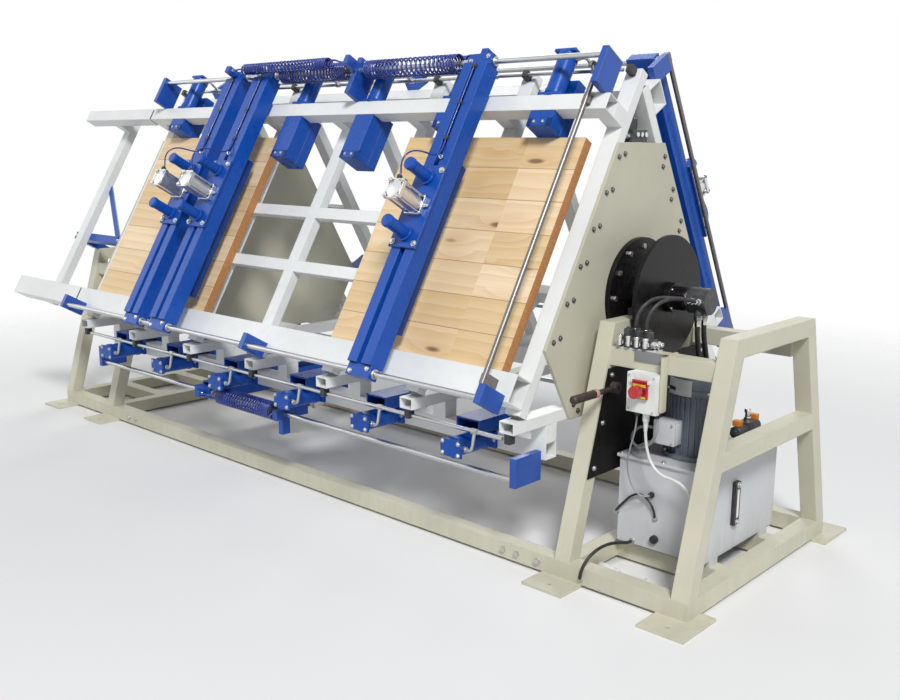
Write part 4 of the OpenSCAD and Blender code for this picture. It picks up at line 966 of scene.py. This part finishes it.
# Lever grip, switch box, glands and their cables
GRIP_X, GRIP_Z = 1528, 640
grip = Batch("grip_cap", "lever", "lever")
grip.lathe((GRIP_X, -543.7, GRIP_Z), FORWARD,
           [(0, 13), (0.5, 14.2), (3, 14.4), (7, 12), (9.5, 7.5), (10.5, 3)], 28)
grip.done()
collar = Batch("grip_collar", "lever", "grip_end")
collar.collar((GRIP_X, -434, GRIP_Z), UP, 9.2, 15.5, 16, 28, 2)
collar.done()
BOX_X, BOX_FRONT, BOX_Z, LID_WALL, SCREW_INSET = (1597, 1703), -350, (584, 712), 2, 8
LID_Y = (BOX_FRONT + 3, BOX_FRONT + 26)
lid = Batch("switch_lid", "base", "box")
for lo, hi in ((BOX_X[0] - LID_WALL, BOX_X[0]), (BOX_X[1], BOX_X[1] + LID_WALL)):
    lid.box((lo, hi), LID_Y, BOX_Z, 0.8)
lid.box((BOX_X[0] - LID_WALL, BOX_X[1] + LID_WALL), LID_Y, (BOX_Z[0] - LID_WALL, BOX_Z[0]), 0.8)
lid.done()
lid_screws = Batch("switch_screws", "base", "bolt")
for x in (BOX_X[0] + SCREW_INSET, BOX_X[1] - SCREW_INSET):
    for z in (BOX_Z[0] + SCREW_INSET, BOX_Z[1] - SCREW_INSET):
        lid_screws.cap_screw((x, BOX_FRONT, z), FORWARD, 3.4)
lid_screws.done()
FLAP_FACE, BUTTON_X, BUTTON_Z = -360.4, 1649, 658
insert = Batch("flap_insert", "flap", "yellow")
for height in ((634, 641), (671, 680)):
    insert.box((BUTTON_X - 24, BUTTON_X + 24), (FLAP_FACE - 1.2, FLAP_FACE), height, 0.4)
insert.done()
bezel = Batch("button_bezel", "flap", "dark_plastic")
bezel.collar((BUTTON_X, FLAP_FACE, BUTTON_Z), FORWARD, 9.6, 16, 5, 32, 1)
bezel.done()
BOX_GLAND = [(0, 12), (9, 12), (9, 9.5), (16, 9.5), (19, 7), (22, 5)]
glands = Batch("cable_glands", "base", "dark_plastic")
glands.lathe((1620, -318, BOX_Z[0]), FLOOR, BOX_GLAND, 6)
glands.lathe((1688, -305, BOX_Z[0]), FLOOR, BOX_GLAND, 6)
glands.lathe((1630, -190, 494), LEFT, [(0, 13), (9, 13), (9, 10), (16, 10), (19, 7.5), (22, 6)], 6)
glands.lathe((1650, TANK_FRONT, 282), FORWARD, [(0, 11), (7, 11), (7, 8.5), (13, 8.5), (15, 6.5)], 6)
glands.done()
relief = Batch("lead_relief", "base", "lead")
relief.lathe((1658, -325, 558.2), FLOOR, [(0, 11), (4, 11), (6, 9), (16, 7.8), (30, 6.6), (40, 5.5)], 20)
relief.done()

CABLES = [
    ("motor_cable", 0.005, "grey_cable", [
        (1688, -305, 572), (1688, -305, 540), (1683, -304, 508), (1666, -299, 478), (1636, -289, 455),
        (1600, -273, 445), (1566, -251, 450), (1548, -224, 467), (1556, -200, 486), (1580, -191, 493.5),
        (1604, -190, 494), (1626, -190, 494)]),
    ("sensor_cable", 0.003, "grey_cable", [
        (1620, -318, 572), (1619, -318, 545), (1610, -314, 500), (1594, -307, 452), (1582, -300, 408),
        (1579, -295, 368), (1586, -293, 336), (1600, -293, 309), (1618, -292, 292), (1635, -287, 284),
        (1646, -276, 282), (1650, -262, 282)]),
    ("sensor_lead", 0.004, "black_cable", [
        (1519, -262, 196), (1530, -262, 212), (1549, -262.5, 234), (1576, -263, 262), (1608, -263.5, 278),
        (1634, -264, 272), (1652, -263, 256), (1664, -259, 232), (1668, -256, 206)]),
    ("bonding_lead", 0.0055, "black_cable", [
        (1581, -262, 100), (1581, -284, 103), (1580, -318, 113), (1577, -356, 122), (1573, -396, 126),
        (1568, -436, 122), (1562, -470, 108), (1556, -493, 86), (1551, -505, 60), (1549, -507, 44),
        (1548, -507, 34)]),
]
for cable, radius, key, route in CABLES:
    cord_piece(cable, laid(route), radius, key, "base")
BASE_FRONT = -500
ends = Batch("cable_ends", "base", "bolt")
ends.bolt((1548, BASE_FRONT, 32), FORWARD, 8)
ends.bolt((1581, TANK_FRONT, 100), FORWARD, 9)
ends.bolt((1367, BASE_FRONT, 40), FORWARD, 11)
ends.lathe((1519, TANK_FRONT, 194), FORWARD, neck(10, 9, 7, 14), 6)
ends.lathe((1668, TANK_FRONT, 204), FORWARD, neck(10, 4, 7, 8), 6)
ends.done()

# Plug of the mains lead, and ties of its hank
plug = Batch("plug_body", "base", "lead")
plug.lathe((HANK_TAIL, -338.4, 16.7), LEFT, [
    (0, 6), (2, 8.5), (8, 9), (9, 7.6), (12, 7.6), (13, 9.4), (17, 9.6), (18, 8), (21, 8), (22, 10.5),
    (30, 13.5), (50, 14), (51, 15.6), (56, 15.6), (57, 14.4), (78, 14.4), (80, 13.6), (80, 12), (62, 12)], 32)
plug.done(("mains_plug",))
TIE_X, TIE_FOOT, TIE_TOP, TIE_THICK = (1690, 1695), 0.1, 22.6, 0.6
ties = Batch("hank_ties", "base", "lead")
for y0, y1 in ((-364.5, -331.5), (-439.2, -412)):
    ties.box(TIE_X, (y0, y1), (22, TIE_TOP), 0)
    ties.box(TIE_X, (y0, y0 + TIE_THICK), (TIE_FOOT, TIE_TOP), 0)
    ties.box(TIE_X, (y1 - TIE_THICK, y1), (TIE_FOOT, TIE_TOP), 0)
    ties.box((TIE_X[0] - 2, TIE_X[1] + 2), (y1 - 6, y1 - 1), (22.4, 26), 0.6)
ties.done()

# Power unit
MOTOR_X, MOTOR_Y = MOTOR_AT = (1710, -80)
motor = Batch("motor_covers", "base", "motor")
motor.collar((*MOTOR_AT, 626), SKY, 100.1, 102.5, 14, 56, 0.8)
motor.collar((*MOTOR_AT, 692), SKY, 88, 101.5, 9, 56, 2)
for k in range(6):
    a = math.radians(60 * k)
    motor.sweep([(MOTOR_X + r * math.cos(a), MOTOR_Y + r * math.sin(a), 702) for r in (12, 90)], 2.4, 20, 8)
for r in (26, 46, 66):
    motor.collar((*MOTOR_AT, 700), SKY, r, r + 6, 3.5, 48, 0.8)
motor.done()
TERMINAL_FRONT, TERMINAL_Y = -226, (-220, -168)
terminal = Batch("terminal_cover", "base", "tank")
terminal.box((1628, 1708), (TERMINAL_FRONT, TERMINAL_Y[0]), (454, 534), 2)
for lo, hi in ((1628.5, 1629.8), (1706.2, 1707.5)):
    terminal.box((lo, hi), TERMINAL_Y, (455, 533), 0.5)
terminal.box((1628.5, 1707.5), TERMINAL_Y, (532.2, 533.5), 0.5)
terminal.arc_plate(MOTOR_AT, 102.7, 104.4, (-129, -75), (620, 674))
terminal.done()
# The slot is a thin dark strip laid on the plate: painted shade standing for an opening.
slot = Batch("motor_plate_slot_shade", "base", "dark_plastic")
slot.arc_plate(MOTOR_AT, 104.4, 105.0, (-127, -108), (633, 645))
slot.done()
tank_bolts = Batch("tank_bolts", "base", "bolt")
for x in (1638, 1698):
    for z in (463, 525):
        tank_bolts.cap_screw((x, TERMINAL_FRONT, z), FORWARD, 4)
for k in range(4):
    a = math.radians(45 + 90 * k)
    c, s = math.cos(a), math.sin(a)
    tank_bolts.bolt((MOTOR_X + 105 * c, MOTOR_Y + 105 * s, 416), SKY, 7)
    tank_bolts.cap_screw((MOTOR_X + 102 * c, MOTOR_Y + 102 * s, 633), (c, s, 0), 4)
for x in (1524, 1685, 1846):
    for y in (-246, -82, 82, 246):
        if x != 1685 or abs(y) > 240:
            tank_bolts.bolt((x, y, TANK_TOP), SKY, 6)
for z in (190, 320):
    tank_bolts.bolt((GAUGE_FACE, -60, z), ALONG, 8)
tank_bolts.done()
glass = Batch("gauge_glass", "base", "white_cable")
glass.box((GAUGE_FACE, GAUGE_FACE + 2.5), (-66, -54), (206, 304), 1)
glass.done()
breather = Batch("breather_cap", "base", "chrome")
breather.lathe((1781, 170, 420), SKY, [(0, 36.3), (4, 38), (26, 38), (31, 34), (33, 20)], 36)
breather.done()
VALVE_X, VALVE_Z = 1811, 478
valves = Batch("tank_valves", "base", "valve")
valves.box((VALVE_X - 25, VALVE_X + 25), (44, 118), (TANK_TOP + 0.2, 452), 3)
valves.box((VALVE_X - 21, VALVE_X + 21), (50, 112), (452, 504), 3)
for y, way, foot in ((30, -1, -20), (112, 1, 0)):
    valves.lathe((VALVE_X, y, VALVE_Z), (0, way, 0), [(foot, 21), (34, 21), (36, 19), (36, 9), (44, 9)], 28)
valves.box((1570, 1640), (76, 154), (510, 512), 0.6)
valves.done()
caps = Batch("valve_caps", "base", "orange")
for y in ((-2, 22), (120, 142)):
    caps.box((VALVE_X - 14, VALVE_X + 14), y, (499, 519), 3)
caps.done()
FERRULE = [(0, 15.5), (14, 15.5), (15, 12), (36, 11.6), (37, 10)]
nuts = Batch("hose_ferrules", "base", "chrome")
for route in SUPPLY_ROUTES:
    top, low = route[0], route[-1]
    nuts.lathe((top[0], top[1], 862), FLOOR, FERRULE, 6)
    nuts.lathe((low[0], low[1], 512), SKY, FERRULE, 6)
nuts.lathe((VALVE_X, 81, 504), SKY, [(0, 13), (12, 13), (12, 9), (30, 9), (30, 12), (40, 12), (42, 9)], 6)
for y in (62, 100):
    nuts.lathe((VALVE_X + 25, y, 428), ALONG, neck(11, 12, 8, 18), 6)
nuts.done()

# Bracket of the switch box over the front cross rail: the rail's front and top, and the top of the bracket
RAIL_FRONT, RAIL_TOP, BRACKET_X, BRACKET_TOP = -302.4, 772.2, (1706, 1716), 776
bracket = Batch("box_bracket", "base", "beige")
bracket.box(BRACKET_X, (-332, RAIL_FRONT), (592, BRACKET_TOP), 1)
bracket.box(BRACKET_X, (-332, -242), (RAIL_TOP, BRACKET_TOP), 1)
bracket.done()
hanger = Batch("hanger_plate", "base", "grey")
hanger.box((1592, 1700), (RAIL_FRONT - 3, RAIL_FRONT), (740, BRACKET_TOP), 0.8)
hanger.done()

# Hydraulic fittings on the front cross rail of the right stand
FITTING_FOOT, MANIFOLD_X, MANIFOLD_FRONT, MANIFOLD_TOP, PORT_Z = 778, (1524, 1644), -292, 812, 795
rail_plate = Batch("rail_plate", "base", "tank")
rail_plate.box((1512, 1660), (-300, -244), (RAIL_TOP - 0.1, FITTING_FOOT), 1)
rail_plate.done()
manifold = Batch("rail_manifold", "base", "valve")
manifold.box(MANIFOLD_X, (MANIFOLD_FRONT, -252), (FITTING_FOOT, MANIFOLD_TOP), 3)
for x in (1544, 1584, 1624):
    manifold.lathe((x, -272, MANIFOLD_TOP), SKY, [(0, 14), (22, 14), (24, 12), (24, 6), (30, 6)], 24)
manifold.done()
RAIL_HOSE_X, RAIL_HOSE_Y, RAIL_HOSE_RADIUS, UNION_X = (1566, 1606), -262, 0.0065, 1648
rail_fits = Batch("rail_fittings", "base", "chrome")
for x in (1536, 1568, 1600, 1632):
    rail_fits.lathe((x, MANIFOLD_FRONT, PORT_Z), FORWARD, neck(11, 10, 8.5, 20, 7), 6)
    rail_fits.lathe((x, -307, 786), SKY, [(0, 8), (24, 8), (25, 9.5), (33, 9.5), (34, 8)], 20)
for y in (-284, -260):
    rail_fits.lathe((MANIFOLD_X[1], y, PORT_Z), ALONG, neck(12, 12, 9, 24, 7.5), 6)
for x in RAIL_HOSE_X:
    rail_fits.lathe((x, RAIL_HOSE_Y, MANIFOLD_TOP), SKY, neck(9.5, 12, 8, 26, 6.5), 6)
for y in (-282, -262):
    rail_fits.bolt((1517, y, FITTING_FOOT), SKY, 4)
    rail_fits.bolt((1652, y, FITTING_FOOT), SKY, 4)
rail_fits.done()
for i, (x, shift) in enumerate(zip(RAIL_HOSE_X, (0, 24))):
    end = UNION_X + shift
    route = [(x, RAIL_HOSE_Y, 798), (x, RAIL_HOSE_Y, 830), (x + 1, RAIL_HOSE_Y, 862), (x + 8, -252, 896),
             (x + 20, -226, 922), (x + 36, -186, 934), (end - 8, -140, 932), (end - 2, -98, 924),
             (end, -70, 916), (end, -58, 914)]
    cord_piece("rail_hose_%d" % (i + 1), laid(route), RAIL_HOSE_RADIUS, "rubber", "base")
    fit = Batch("union_elbow_%d" % (i + 1), "base", "chrome")
    fit.lathe((end, -40, 913), (0, -1, 0.05), [(0, 12), (12, 12), (12, 9), (34, 8.4), (35, 7)], 6)
    fit.done()


# Studio: the floor with the radius where it starts to fade and ends, and the lights
FLOOR_RADIUS, FADE_FROM, FADE_TO, FLOOR_GREY = 9.0, 2.6, 5.2, 0.82
WORLD_STRENGTH, LIGHT_TARGET = 0.28, (0, 0, 0.9)
LIGHTS = [("key", (8.6, -6.9, 10.2), 2.9, 1680.0), ("fill", (-5.5, -4.0, 3.5), 4.0, 60.0),
          ("back", (-3.5, 5.5, 5.0), 4.0, 190.0)]


def studio():
    bm = bmesh.new()
    bmesh.ops.create_circle(bm, cap_ends=True, segments=96, radius=FLOOR_RADIUS)
    floor = new_object("floor", bm)
    n = Nodes("floor")
    n.set(Base_Color=(FLOOR_GREY, FLOOR_GREY, FLOOR_GREY, 1.0), Roughness=0.9)
    far = n.add("ShaderNodeVectorMath", operation="LENGTH")
    n.link(n.coords(), far.inputs[0])
    clear = n.add("ShaderNodeBsdfTransparent")
    mix = n.add("ShaderNodeMixShader")
    n.link(n.ramp(far.outputs["Value"], (FADE_FROM, 0.0), (FADE_TO, 1.0)), mix.inputs[0])
    n.link(n.bsdf.outputs["BSDF"], mix.inputs[1])
    n.link(clear.outputs[0], mix.inputs[2])
    n.link(mix.outputs[0], n.out.inputs["Surface"])
    floor.data.materials.append(n.mat)
    floor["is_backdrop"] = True
    world = bpy.data.worlds.new("studio")
    scene.world = world
    world.use_nodes = True
    tree = world.node_tree
    tree.nodes.clear()
    out = tree.nodes.new("ShaderNodeOutputWorld")
    seen = tree.nodes.new("ShaderNodeBackground")
    seen.inputs["Color"].default_value = (1, 1, 1, 1)
    lit = tree.nodes.new("ShaderNodeBackground")
    lit.inputs["Color"].default_value = (0.95, 0.97, 1.0, 1)
    lit.inputs["Strength"].default_value = WORLD_STRENGTH
    path = tree.nodes.new("ShaderNodeLightPath")
    mix = tree.nodes.new("ShaderNodeMixShader")
    fac = path.outputs["Is Camera Ray"]
    for ray in ("Is Glossy Ray", "Is Transmission Ray"):
        either = tree.nodes.new("ShaderNodeMath")
        either.operation = "MAXIMUM"
        tree.links.new(fac, either.inputs[0])
        tree.links.new(path.outputs[ray], either.inputs[1])
        fac = either.outputs[0]
    tree.links.new(fac, mix.inputs[0])
    tree.links.new(lit.outputs[0], mix.inputs[1])
    tree.links.new(seen.outputs[0], mix.inputs[2])
    tree.links.new(mix.outputs[0], out.inputs["Surface"])
    for name, place, size, power in LIGHTS:
        light = bpy.data.lights.new(name, "AREA")
        light.size = size
        light.energy = power
        lamp = bpy.data.objects.new(name, light)
        lamp.location = place
        lamp.rotation_mode = "QUATERNION"
        lamp.rotation_quaternion = (Vector(LIGHT_TARGET) - Vector(place)).to_track_quat("-Z", "Y")
        scene.collection.objects.link(lamp)


studio()
scene.view_settings.view_transform = "Standard"

lo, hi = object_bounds()
